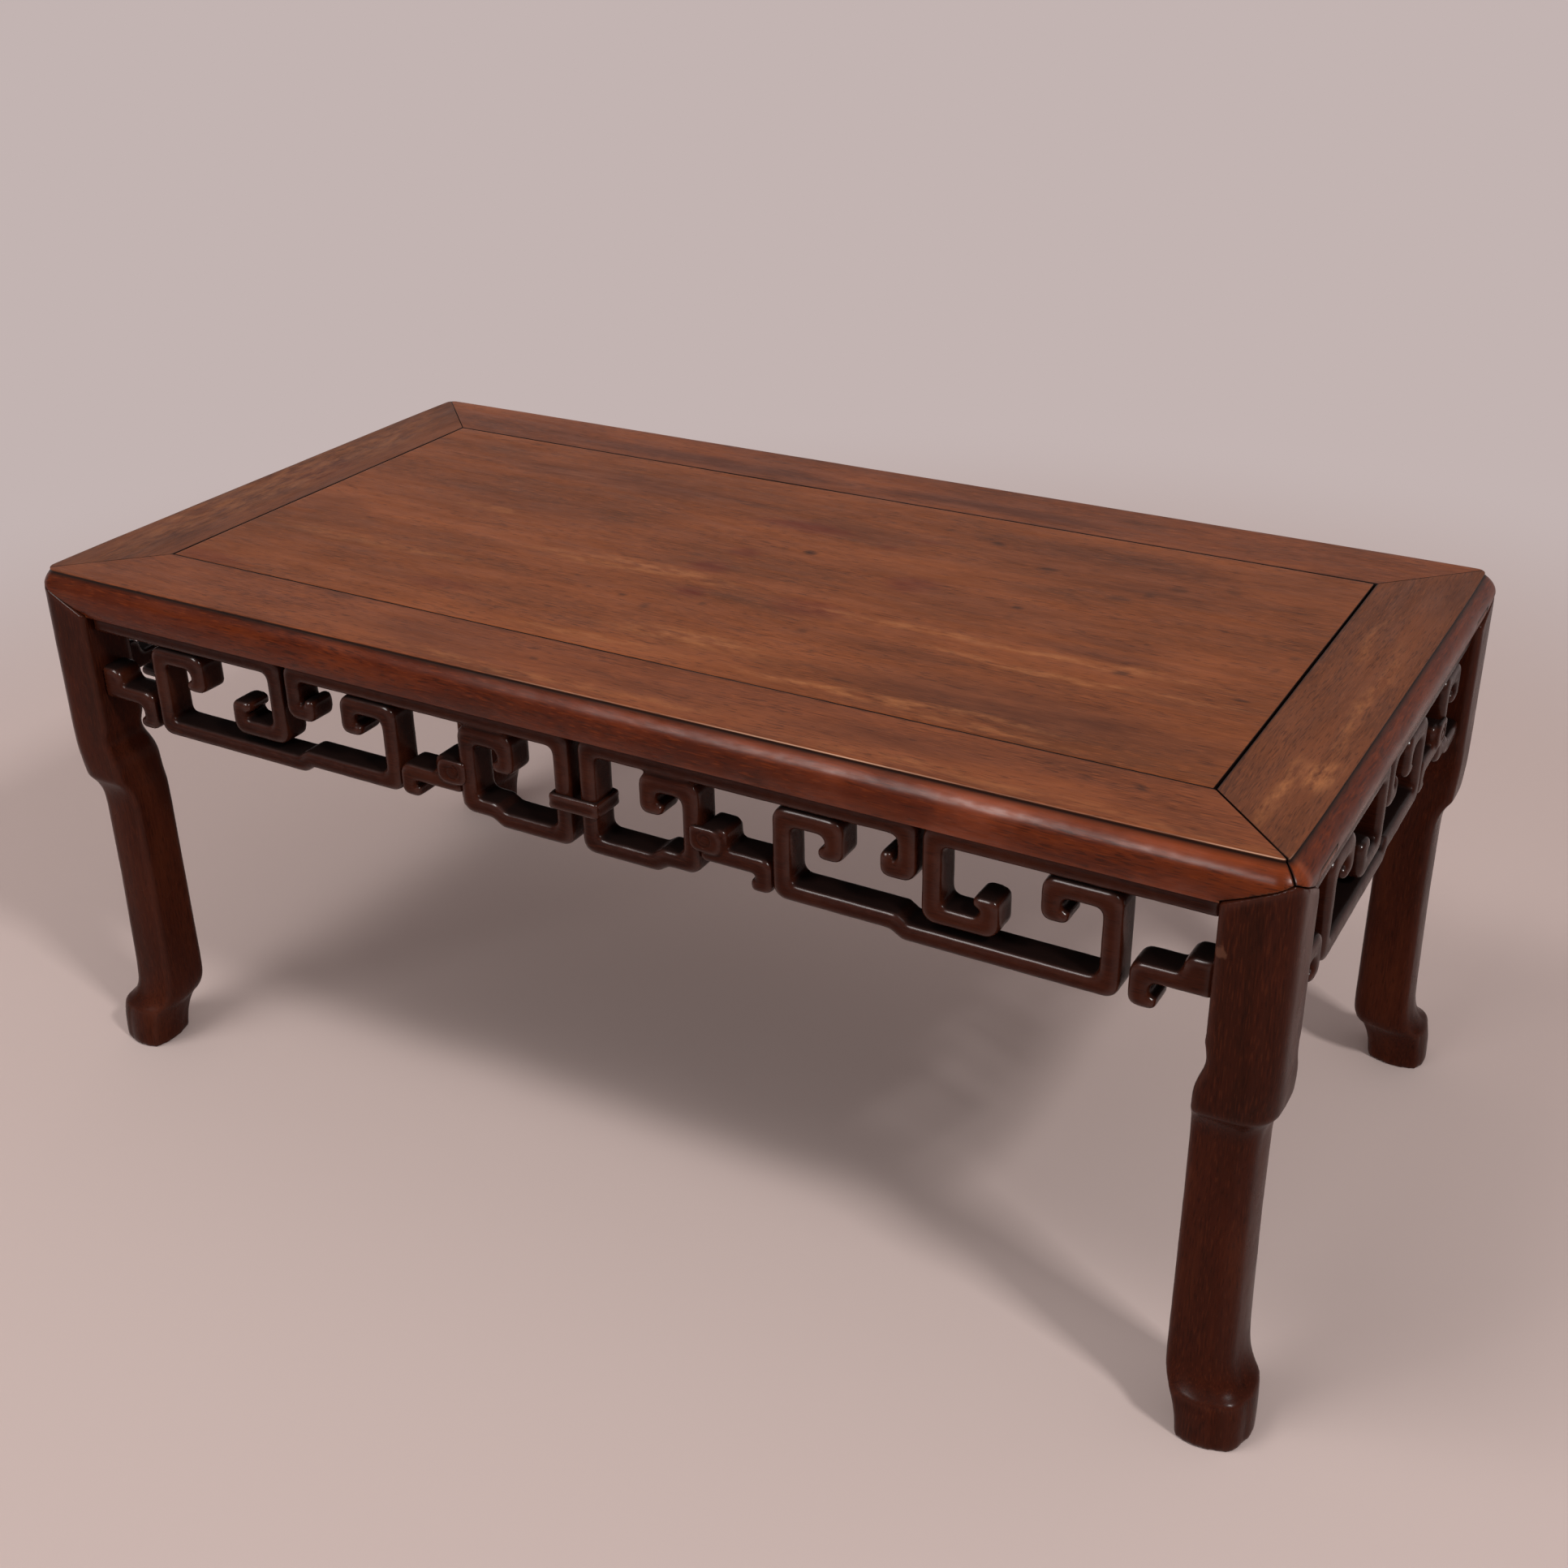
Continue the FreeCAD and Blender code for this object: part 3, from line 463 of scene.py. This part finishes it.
def carved(node, surface, material, voxel, easing, mark_depth, extra=()):
    """A carved piece's mesh from its CAD form: remeshed evenly, then eased and marked."""
    whole = joined("whole_" + node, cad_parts[node].data, *extra)

    def wear(raw):
        remesh = raw.modifiers.new("even", "REMESH")
        remesh.mode = "VOXEL"
        remesh.voxel_size = voxel
        worn = raw.modifiers.new("worn", "NODES")
        worn.node_group = surface
        set_input(worn, "Easing steps", easing)
        set_input(worn, "Mark depth", mark_depth)
        set_input(worn, "Marks per metre", 90.0)
        set_input(worn, "Edge depth", 0.22 * voxel)
        set_input(worn, "Finish", material)

    result = finished_copy(whole, wear)
    result.name = "carved_" + node
    for vert in result.vertices:
        vert.co.z = max(vert.co.z, 0)
    return result


def apron_place(node):
    """The corner where an apron piece starts on the apron's face, and the ways along and out."""
    low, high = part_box(node)
    side = node.split("_")[0]
    if side in ("front", "back"):
        along = Vector((1 if "_right_" in node else -1, 0, 0))
        out = Vector((0, -1 if side == "front" else 1, 0))
    else:
        along = Vector((0, -1, 0))
        out = Vector((1 if side == "right" else -1, 0, 0))
    way = along - out
    start = Vector([low[i] if way[i] > 0 else high[i] for i in range(3)])
    return start, along, out


def roundel_plate(node):
    """The raised plate on a roundel. It laps over the bar beside it."""
    start, along, out = apron_place(node)
    left, right, low, high = [side * MM for side in roundel_sides]
    # Each corner's place, its radius in mm and the angle where its arc starts
    corners = ((right, high, 7.0, 0), (left, high, 3.0, 90), (left, low, 5.5, 180), (right, low, 6.0, 270))
    shape = bmesh.new()
    rings = []
    # From the plate's foot to its face: how far in each ring lies and how far out, in mm
    for inset, rise in ((0, -1.5), (0, 0.9), (0.9, 1.6), (2.0, 1.8)):
        ring = []
        for u, w, radius, first in corners:
            middle_u = u - math.copysign(radius * MM, u - (left + right) / 2)
            middle_w = w - math.copysign(radius * MM, w - (low + high) / 2)
            for step in range(7):
                a = math.radians(first + 15 * step)
                reach = (radius - inset) * MM
                place = start + along * (middle_u + reach * math.cos(a)) + out * rise * MM
                ring.append(shape.verts.new(place + Vector((0, 0, middle_w + reach * math.sin(a)))))
        rings.append(ring)
    for below, above in zip(rings, rings[1:]):
        for index in range(len(below)):
            after = (index + 1) % len(below)
            shape.faces.new((below[index], below[after], above[after], above[index]))
    shape.faces.new(rings[0])
    shape.faces.new(rings[-1])
    bmesh.ops.recalc_face_normals(shape, faces=shape.faces)
    mesh = bpy.data.meshes.new("plate")
    shape.to_mesh(mesh)
    shape.free()
    return mesh


def incise_curl(mesh, node):
    """Cuts the roundel's curl into its plate: a groove that winds outwards."""
    start, along, out = apron_place(node)
    plate_foot = 0.6 * MM
    for vert in mesh.vertices:
        away = vert.co - start
        if away.dot(out) < plate_foot:
            continue
        u = away.dot(along) / MM - curl_middle[0]
        w = away.z / MM - curl_middle[1]
        turn = (math.pi - math.atan2(w, u)) / (2 * math.pi)
        depth = 0
        for lap in (0, 1):
            if turn + lap <= curl_turns:
                off = math.hypot(u, w) - curl_start - curl_growth * (turn + lap)
                depth = max(depth, curl_depth * math.exp(-(off / curl_width) ** 2))
        vert.co -= out * depth * MM


def mark_values(places, marks):
    """How strong the marks are at each place. Their edges are soft and ragged."""
    ragged = np.array([place + noise.noise_vector(place * 22) * 5 * MM
                       + noise.noise_vector(place * 120) * 1.4 * MM for place in places])
    total = np.zeros(len(places))
    for x, y, half_x, half_y, strength in marks:
        reach = np.hypot((ragged[:, 0] / MM - x) / half_x, (ragged[:, 1] / MM - y) / half_y)
        fade = np.clip((1.5 - reach) / 1.1, 0, 1)
        total = np.maximum(total, strength * fade ** 2 * (3 - 2 * fade))
    return total


def store(mesh, name, values):
    """Keeps a number for each point of a mesh, for its material."""
    mesh.attributes.new(name, "FLOAT", "POINT").data.foreach_set("value", values)


def store_marks(mesh):
    """Keeps how old and stained the top is at each point of a mesh."""
    places = [vert.co.copy() for vert in mesh.vertices]
    for name, marks in top_marks.items():
        store(mesh, name, mark_values(places, marks))


def turn_faces_outward(mesh):
    """Makes all faces of a closed mesh look outwards."""
    shape = bmesh.new()
    shape.from_mesh(mesh)
    bmesh.ops.recalc_face_normals(shape, faces=shape.faces)
    shape.to_mesh(mesh)
    shape.free()


def nosed_section(arris_inset):
    """The rail's section as (inward, height, nosing, arris, seam) points, from the panel's edge
    over the nosing and back underneath."""
    inner = rail_width - edge_ease
    outer = arris_inset + edge_ease
    clean = inner - 1.5 * MM
    rows = [(inner, top_z, 0, 0, 0.9), (inner - 0.4 * MM, top_z, 0, 0, 0.3), (clean, top_z, 0, 0, 0)]
    flat_steps = 17
    for step in range(1, flat_steps + 1):
        rows.append((clean + (outer - clean) * step / flat_steps, top_z, 0, 0, 0))
    for angle in (30, 60, 90):
        a = math.radians(angle)
        rows.append((outer - edge_ease * math.sin(a), top_z - edge_ease * (1 - math.cos(a)), 0, 1, 0))
    rows.append((arris_inset, top_z - 0.7 * MM, 0, 0, 0.8))
    rows.append((arris_inset, top_z - quirk_depth, 0.5, 0, 1))
    nose_steps = 14
    clean_share = 0.8
    for step in range(nose_steps, -1, -1):
        t = step / nose_steps
        grime = max(0, (t - clean_share) / (1 - clean_share)) * 0.9
        rows.append((arris_inset * t * t, nose_z + (top_z - quirk_depth - nose_z) * t, 1, 0, grime))
    turn_steps = 10
    for step in range(1, turn_steps + 1):
        t = step / turn_steps
        rows.append((under_inset * t * t, nose_z + (under_z - nose_z) * t, 1, 0, 0))
    under_steps = 7
    for step in range(1, under_steps + 1):
        rows.append((under_inset + (rail_width - under_inset) * step / under_steps, under_z, 1, 0, 0))
    rows.append((rail_width, panel_under_z, 0, 0, 1))
    rows.append((rail_width, top_z - edge_ease, 0, 0, 1))
    rows.append((rail_width - edge_ease * 0.3, top_z - edge_ease * 0.3, 0, 0, 1))
    return rows


def rail_mesh(name, length, width, turn, gaps, wear, seed):
    """A mitred rail with a nosed edge and round corners, worn along its length."""
    count = len(nosed_section(wear[0]))
    reach = length / 2 - corner_radius
    full = reach + corner_radius * math.pi / 4
    # Stations along half the rail, from its mitre, which is pinched and dark with grime, to its middle
    pinch_reach = 0.3 * MM
    grime_reach = 0.9 * MM
    marks = [0, pinch_reach, grime_reach, 1.6 * MM] + [MM * step for step in range(3, 19)]
    while marks[-1] < full - 4 * MM:
        marks.append(marks[-1] + 3 * MM)
    marks.append(full)
    stations = [(-1, mark) for mark in marks] + [(1, mark) for mark in marks[-2::-1]]
    spin = Matrix.Rotation(math.radians(turn), 3, "Z")
    places = []
    values = {"nosing": [], "arris": [], "seam": []}
    # Wear draws the surface in towards this line inside the rail
    middle = Vector((0, -width / 2 + 25 * MM, top_z - 12 * MM))
    for side, mark in stations:
        gap = gaps[0] if side < 0 else gaps[1]
        pinch = max(0, 1 - mark / pinch_reach) * 0.25 * MM
        near_end = max(0, 1 - mark / grime_reach)
        share = (1 + side * (1 - mark / full)) / 2
        arris_inset = wear[0] * (1 - share) + wear[1] * share
        arris_inset += corner_turn_in * math.exp(-mark / corner_turn_reach)
        for d, z, nosing, arris, seam in nosed_section(arris_inset):
            half = reach + (corner_radius - d) * math.pi / 4 if d < corner_radius else length / 2 - d
            s = half * (1 - mark / full) - gap * math.sqrt(0.5)
            if d >= corner_radius or s <= reach:
                x = s
                y = -width / 2 + d
            else:
                a = (s - reach) / (corner_radius - d)
                x = reach + (corner_radius - d) * math.sin(a)
                y = -width / 2 + corner_radius - (corner_radius - d) * math.cos(a)
            place = spin @ Vector((side * x, y, z))
            wave = noise.noise(place * 14 + Vector((seed, 0, 0))) * 0.16 * MM
            wave += noise.noise(place * 60 + Vector((seed, 5, 0))) * 0.05 * MM
            inward = (spin @ Vector((0, middle.y - y, middle.z - z))).normalized()
            places.append(place + inward * (abs(wave) + pinch))
            rubbed = min(1, max(0.1, 0.5 + 1.6 * noise.noise(place * 9 + Vector((0, 0, seed)))))
            values["nosing"].append(nosing)
            values["arris"].append(arris * rubbed)
            values["seam"].append(max(seam, near_end))
    faces = []
    for row in range(len(stations) - 1):
        for column in range(count):
            after = (column + 1) % count
            faces.append((row * count + column, (row + 1) * count + column,
                          (row + 1) * count + after, row * count + after))
    faces.append(tuple(range(count)))
    last = (len(stations) - 1) * count
    faces.append(tuple(range(last + count - 1, last - 1, -1)))
    mesh = bpy.data.meshes.new(name)
    mesh.from_pydata(places, [], faces)
    for key, numbers in values.items():
        store(mesh, key, numbers)
    turn_faces_outward(mesh)
    return mesh


def block_mesh(name, low, high, ease=0.0, cells=(1, 1)):
    """A block with its top edges eased, its top divided into cells."""
    shape = bmesh.new()
    bmesh.ops.create_grid(shape, x_segments=cells[0], y_segments=cells[1], size=0.5)
    for vert in shape.verts:
        vert.co = Vector((low[0] + (vert.co.x + 0.5) * (high[0] - low[0]),
                          low[1] + (vert.co.y + 0.5) * (high[1] - low[1]), high[2]))
    rim = [edge for edge in shape.edges if edge.is_boundary]
    walls = bmesh.ops.extrude_edge_only(shape, edges=rim)["geom"]
    foot = [item for item in walls if isinstance(item, bmesh.types.BMVert)]
    for vert in foot:
        vert.co.z = low[2]
    bmesh.ops.contextual_create(shape, geom=[item for item in walls if isinstance(item, bmesh.types.BMEdge)
                                             and item.is_boundary])
    if ease:
        top_rim = [edge for edge in shape.edges if all(v.co.z > high[2] - 1e-7 for v in edge.verts)
                   and any(abs(f.normal.z) < 0.5 for f in edge.link_faces)]
        bmesh.ops.bevel(shape, geom=top_rim, offset=ease, segments=2, profile=0.5, affect="EDGES")
    bmesh.ops.recalc_face_normals(shape, faces=shape.faces)
    mesh = bpy.data.meshes.new(name)
    shape.to_mesh(mesh)
    shape.free()
    return mesh


def joined(name, *meshes):
    """Several meshes as one, with points that lie together made one."""
    shape = bmesh.new()
    for mesh in meshes:
        shape.from_mesh(mesh)
    bmesh.ops.remove_doubles(shape, verts=shape.verts, dist=0.01 * MM)
    result = bpy.data.meshes.new(name)
    shape.to_mesh(result)
    shape.free()
    return result


def cut_by(mesh, tool, operation):
    """A mesh with a tool's volume cut out of it, or only what lies in that volume."""
    cutter = bpy.data.objects.new("cutter", tool)
    bpy.context.scene.collection.objects.link(cutter)

    def cut(raw):
        boolean = raw.modifiers.new("cut", "BOOLEAN")
        boolean.operation = operation
        boolean.object = cutter

    result = finished_copy(mesh, cut)
    bpy.data.objects.remove(cutter)
    return result


def shade_by_angle(mesh, degrees=35):
    """Smooth shading with the sharp edges kept."""
    mesh.shade_smooth()
    mesh.set_sharp_from_angle(angle=math.radians(degrees))


def tenon_box(side_x, side_y, play, recess=0.0):
    """The corners of a through tenon's end in an end rail, or of the slot round it."""
    xs = sorted((side_x * (half_length - tenon_show), side_x * (half_length - recess)))
    ys = sorted((side_y * (tenon_near - play), side_y * (tenon_far + play)))
    top = top_z - tenon_low
    return (xs[0], ys[0], top - tenon_thickness - play), (xs[1], ys[1], top + play)


def joint_height(inward):
    """How high the joint over a leg's head lies, this far in from the frame's outer faces."""
    fall = (leg_mitre_fall + peak_gap - foot_gap) * inward / leg_head
    return top_z - leg_peak_drop + peak_gap - fall


def head_tool(side_x, side_y):
    """The room a leg's head takes in the rails: a block with a hipped top, highest outside the
    frame's corner. It stands a little clear of the head."""
    outer = -cut_overrun
    inner = leg_head + head_play
    foot = []
    head = []
    for reach_x, reach_y in ((outer, outer), (inner, outer), (inner, inner), (outer, inner)):
        x = side_x * (half_length - reach_x)
        y = side_y * (half_width - reach_y)
        foot.append(Vector((x, y, under_z - cut_overrun)))
        head.append(Vector((x, y, joint_height(max(reach_x, reach_y)))))
    faces = [(0, 1, 2, 3), (4, 5, 6), (4, 6, 7), (0, 1, 5, 4), (1, 2, 6, 5), (2, 3, 7, 6), (3, 0, 4, 7)]
    mesh = bpy.data.meshes.new("head_tool")
    mesh.from_pydata(foot + head, [], faces)
    turn_faces_outward(mesh)
    return mesh


def blacken_joints(mesh):
    """Marks the points over the legs' heads and round the tenons' ends as full of black grime."""
    seams = np.zeros(len(mesh.vertices))
    mesh.attributes["seam"].data.foreach_get("value", seams)
    joint_reach = leg_head + 0.5 * MM
    for index, vert in enumerate(mesh.vertices):
        away = max(half_length - abs(vert.co.x), half_width - abs(vert.co.y))
        over_head = away < joint_reach and abs(vert.co.z - joint_height(away)) < on_joint
        side_x = math.copysign(1, vert.co.x)
        side_y = math.copysign(1, vert.co.y)
        low, high = tenon_box(side_x, side_y, tenon_play, -tenon_play)
        outside = max(max(low[i] - vert.co[i], vert.co[i] - high[i]) for i in range(3))
        if over_head or abs(outside) < on_joint:
            seams[index] = 1
    mesh.attributes["seam"].data.foreach_set("value", seams)


def build_panel(wood):
    """The floating panel: a thin wavy board, and the tongue round it."""
    low = Vector((-inner_x + panel_seam, -inner_y + panel_seam, panel_under_z))
    high = Vector((inner_x - panel_shrink_gap, inner_y - panel_seam, top_z))
    board = block_mesh("board", low, high, edge_ease, (300, 134))
    for vert in board.vertices:
        if vert.co.z > top_z - edge_ease * 0.5:
            vert.co.z -= abs(noise.noise(vert.co * 9)) * 0.35 * MM
    box_low, box_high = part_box("top_panel")
    tongue = block_mesh("tongue", box_low, (box_high[0], box_high[1], panel_under_z + tongue_rise))
    panel = joined("floating_panel", board, tongue)
    rims = [min(v.co.x - low.x, high.x - v.co.x, v.co.y - low.y, high.y - v.co.y) for v in panel.vertices]
    store(panel, "seam", [1.0 if rim < edge_ease * 0.5 else 0.0 for rim in rims])
    store_marks(panel)
    shade_by_angle(panel)
    show("floating_panel", panel, "panel_board", "top_panel", material=wood)


def build_rails(long_wood, end_wood):
    """The four mitred rails. The long ones' tenons show on the end ones' faces."""
    closed = (mitre_gap, mitre_gap)
    near_left, near_right, far_right, far_left = corner_wear
    size_x = 2 * half_length
    size_y = 2 * half_width
    near_mitres = (mitre_gap, open_mitre_gap)
    right_mitres = (open_mitre_gap, mitre_gap)
    rails = (("front_rail", size_x, size_y, 0, near_mitres, (near_left, near_right), 1.0),
             ("right_end_rail", size_y, size_x, 90, right_mitres, (near_right, far_right), 2.0),
             ("back_rail", size_x, size_y, 180, closed, (far_right, far_left), 3.0),
             ("left_end_rail", size_y, size_x, 270, closed, (far_left, near_left), 4.0))
    meshes = {node: rail_mesh("nosed_" + node, *sizes) for node, *sizes in rails}
    tenons = {"front_rail": [], "back_rail": []}
    for side_x, end in ((1, "right_end_rail"), (-1, "left_end_rail")):
        whole = meshes[end]
        for side_y, rail in ((-1, "front_rail"), (1, "back_rail")):
            end_block = block_mesh("end", *tenon_box(side_x, side_y, 0.0, tenon_recess))
            tenons[rail].append(cut_by(whole, end_block, "INTERSECT"))
            slot_block = block_mesh("slot", *tenon_box(side_x, side_y, tenon_play, -tenon_play))
            meshes[end] = cut_by(meshes[end], slot_block, "DIFFERENCE")
            for crossed in (end, rail):
                meshes[crossed] = cut_by(meshes[crossed], head_tool(side_x, side_y), "DIFFERENCE")
    for rail, ends in tenons.items():
        meshes[rail] = joined("nosed_" + rail, meshes[rail], *ends)
    for node, mesh in meshes.items():
        mesh.name = "nosed_" + node
        blacken_joints(mesh)
        store_marks(mesh)
        shade_by_angle(mesh)
        show("nosed_" + node, mesh, "frame_rails", node, material=end_wood if "end" in node else long_wood)


def build_floor():
    """A plain pale floor that curves up into a pale backdrop. Away from the table it is seen at
    one even tone, so that no lamp's pool of light shows in the background."""
    material, tree = new_material("matt_pale_floor")
    grey = add(tree, "ShaderNodeBsdfPrincipled", {"Base Color": colour("#bcaba6"), "Roughness": 0.8,
                                                  "Specular IOR Level": 0.2})
    plain = add(tree, "ShaderNodeEmission", {"Color": colour(backdrop_tint)})
    place = add(tree, "ShaderNodeTexCoord").outputs["Object"]
    away = add(tree, "ShaderNodeVectorMath", {0: place}, operation="LENGTH")
    far = add(tree, "ShaderNodeMapRange", {"Value": away, "From Min": 0.75, "From Max": 1.5},
              interpolation_type="SMOOTHSTEP")
    ray = add(tree, "ShaderNodeLightPath").outputs
    seen = add(tree, "ShaderNodeMath", {0: ray["Is Camera Ray"], 1: ray["Is Glossy Ray"]},
               operation="MAXIMUM")
    seen = add(tree, "ShaderNodeMath", {0: seen, 1: ray["Is Transmission Ray"]}, operation="MAXIMUM")
    share = add(tree, "ShaderNodeMath", {0: seen, 1: far}, operation="MULTIPLY")
    surface = add(tree, "ShaderNodeMixShader", {0: share, 1: grey, 2: plain})
    add(tree, "ShaderNodeOutputMaterial", {"Surface": surface})
    front = -4.0
    back = 1.6
    bend = 0.6
    bend_steps = 12
    wall_height = 4.0
    half_floor = 6.0
    rows = [(front, 0.0), (back, 0.0)]
    for step in range(1, bend_steps + 1):
        a = math.pi / 2 * step / bend_steps
        rows.append((back + bend * math.sin(a), bend * (1 - math.cos(a))))
    rows.append((back + bend, wall_height))
    facing = Matrix.Rotation(math.radians(view_azimuth), 3, "Z")
    places = [facing @ Vector((x, y, z)) for y, z in rows for x in (-half_floor, half_floor)]
    faces = [(2 * i, 2 * i + 1, 2 * i + 3, 2 * i + 2) for i in range(len(rows) - 1)]
    mesh = bpy.data.meshes.new("floor")
    mesh.from_pydata(places, [], faces)
    mesh.materials.append(material)
    mesh.shade_smooth()
    floor = bpy.data.objects.new("floor", mesh)
    bpy.context.scene.collection.objects.link(floor)


def add_camera():
    """The photograph's camera."""
    azimuth = math.radians(view_azimuth)
    elevation = math.radians(view_elevation)
    ahead = Vector((-math.sin(azimuth) * math.cos(elevation), math.cos(azimuth) * math.cos(elevation),
                    -math.sin(elevation)))
    data = bpy.data.cameras.new("camera")
    data.sensor_width = sensor_mm
    data.lens = lens_mm
    camera = bpy.data.objects.new("camera", data)
    camera.rotation_mode = "QUATERNION"
    roll = Quaternion((0, 0, 1), math.radians(view_roll))
    camera.rotation_quaternion = ahead.to_track_quat("-Z", "Y") @ roll
    camera.location = view_aim - ahead * view_distance
    bpy.context.scene.collection.objects.link(camera)
    bpy.context.scene.camera = camera


def add_lamp(name, place, aim, size, power):
    """A soft rectangular lamp."""
    data = bpy.data.lights.new(name, "AREA")
    data.shape = "RECTANGLE"
    data.size = size[0]
    data.size_y = size[1]
    data.energy = power
    data.color = colour(lamp_tint)[:3]
    lamp = bpy.data.objects.new(name, data)
    lamp.location = place
    lamp.rotation_euler = (Vector(aim) - Vector(place)).to_track_quat("-Z", "Y").to_euler()
    lamp.visible_camera = False
    bpy.context.scene.collection.objects.link(lamp)
    return lamp


def light_scene():
    """Soft studio light: a lamp high on the right, a broader one on the left, a broad one behind
    the camera, one that gives only highlights, and a pale room. The left and the front lamp give
    no highlights, and the room is dimmer in them, so that the nosing keeps one clear highlight."""
    world = bpy.data.worlds.new("pale_room")
    world.use_nodes = True
    tree = world.node_tree
    tree.nodes.clear()
    ray = add(tree, "ShaderNodeLightPath").outputs
    strength = add(tree, "ShaderNodeMapRange", {"Value": ray["Is Glossy Ray"], "To Min": 0.60,
                                                "To Max": 0.25})
    room = add(tree, "ShaderNodeBackground", {"Color": colour("#ece6e6"), "Strength": strength})
    backdrop = add(tree, "ShaderNodeBackground", {"Color": colour(backdrop_tint), "Strength": 1.0})
    shown = add(tree, "ShaderNodeMixShader", {0: ray["Is Camera Ray"], 1: room, 2: backdrop})
    add(tree, "ShaderNodeOutputWorld", {"Surface": shown})
    bpy.context.scene.world = world
    add_lamp("right_lamp", place=(2.64, -1.10, 2.94), aim=(0, -0.1, 0.2), size=(0.45, 0.45), power=72)
    left = add_lamp("left_lamp", place=(-0.70, -1.05, 2.74), aim=(0, -0.1, 0.2), size=(0.95, 0.75),
                    power=25)
    front = add_lamp("front_lamp", place=(-1.45, -4.0, 1.5), aim=(0, 0, 0.3), size=(2.4, 2.2), power=58)
    shine = add_lamp("highlight_lamp", place=(-1.13, -2.9, 3.0), aim=(0, -0.2, 0.3), size=(1.7, 1.5),
                     power=115)
    left.visible_glossy = False
    front.visible_glossy = False
    shine.visible_diffuse = False


panel_wood = oiled_hardwood("oiled_hand_planed_hardwood_panel", "X", 3.1,
                            ("#512c18", "#6d3a1e", "#844928"))
long_wood = oiled_hardwood("oiled_hardwood_rail_along_x", "X", 7.7, ("#4f2b1b", "#6b3921", "#824829"))
end_wood = oiled_hardwood("oiled_hardwood_rail_along_y", "Y", 12.4, ("#422417", "#59311d", "#6f3e24"))
fret_wood = dark_lacquered("dark_lacquered_fret_hardwood", "X", 21.0, ("#1b0a06", "#2a1009", "#39190e"),
                           0.5, 0.9)
leg_wood = dark_lacquered("dark_lacquered_leg_hardwood", "Z", 33.0, ("#240f08", "#32130a", "#421d0f"),
                          0.15, 0.2, leg_scuffs)
batten_wood = raw_wood("planed_unfinished_hardwood", "Y", ("#4d3526", "#634632", "#7a5a40"), "#2c1d15")
pin_wood = raw_wood("split_bamboo", "Z", ("#8a6a3e", "#a5834f", "#bb9c66"), "#5c4426")

build_panel(panel_wood)
build_rails(long_wood, end_wood)
carved_surface = carved_surface_tree()
for node in sorted(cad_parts):
    if node.endswith("_leg"):
        leg = carved(node, carved_surface, leg_wood, voxel=1.5 * MM, easing=2, mark_depth=0.25 * MM)
        follow_nosing(leg)
        show("carved_" + node, leg, "legs", node)
    elif node.endswith("_roundel_link"):
        link = carved(node, carved_surface, fret_wood, voxel=0.7 * MM, easing=5, mark_depth=0.3 * MM,
                      extra=[roundel_plate(node)])
        incise_curl(link, node)
        show("carved_" + node, link, "fret_bars", node)
    elif node.endswith(("_scroll", "_hook", "_ring")):
        bar = carved(node, carved_surface, fret_wood, voxel=1.0 * MM, easing=6, mark_depth=0.35 * MM)
        show("carved_" + node, bar, "fret_bars", node)
    elif node.startswith("batten") or node.endswith("pins"):
        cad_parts[node].data.materials.clear()
        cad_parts[node].data.materials.append(batten_wood if node.startswith("batten") else pin_wood)

build_floor()
add_camera()
light_scene()

bpy.context.scene.view_settings.view_transform = "Standard"
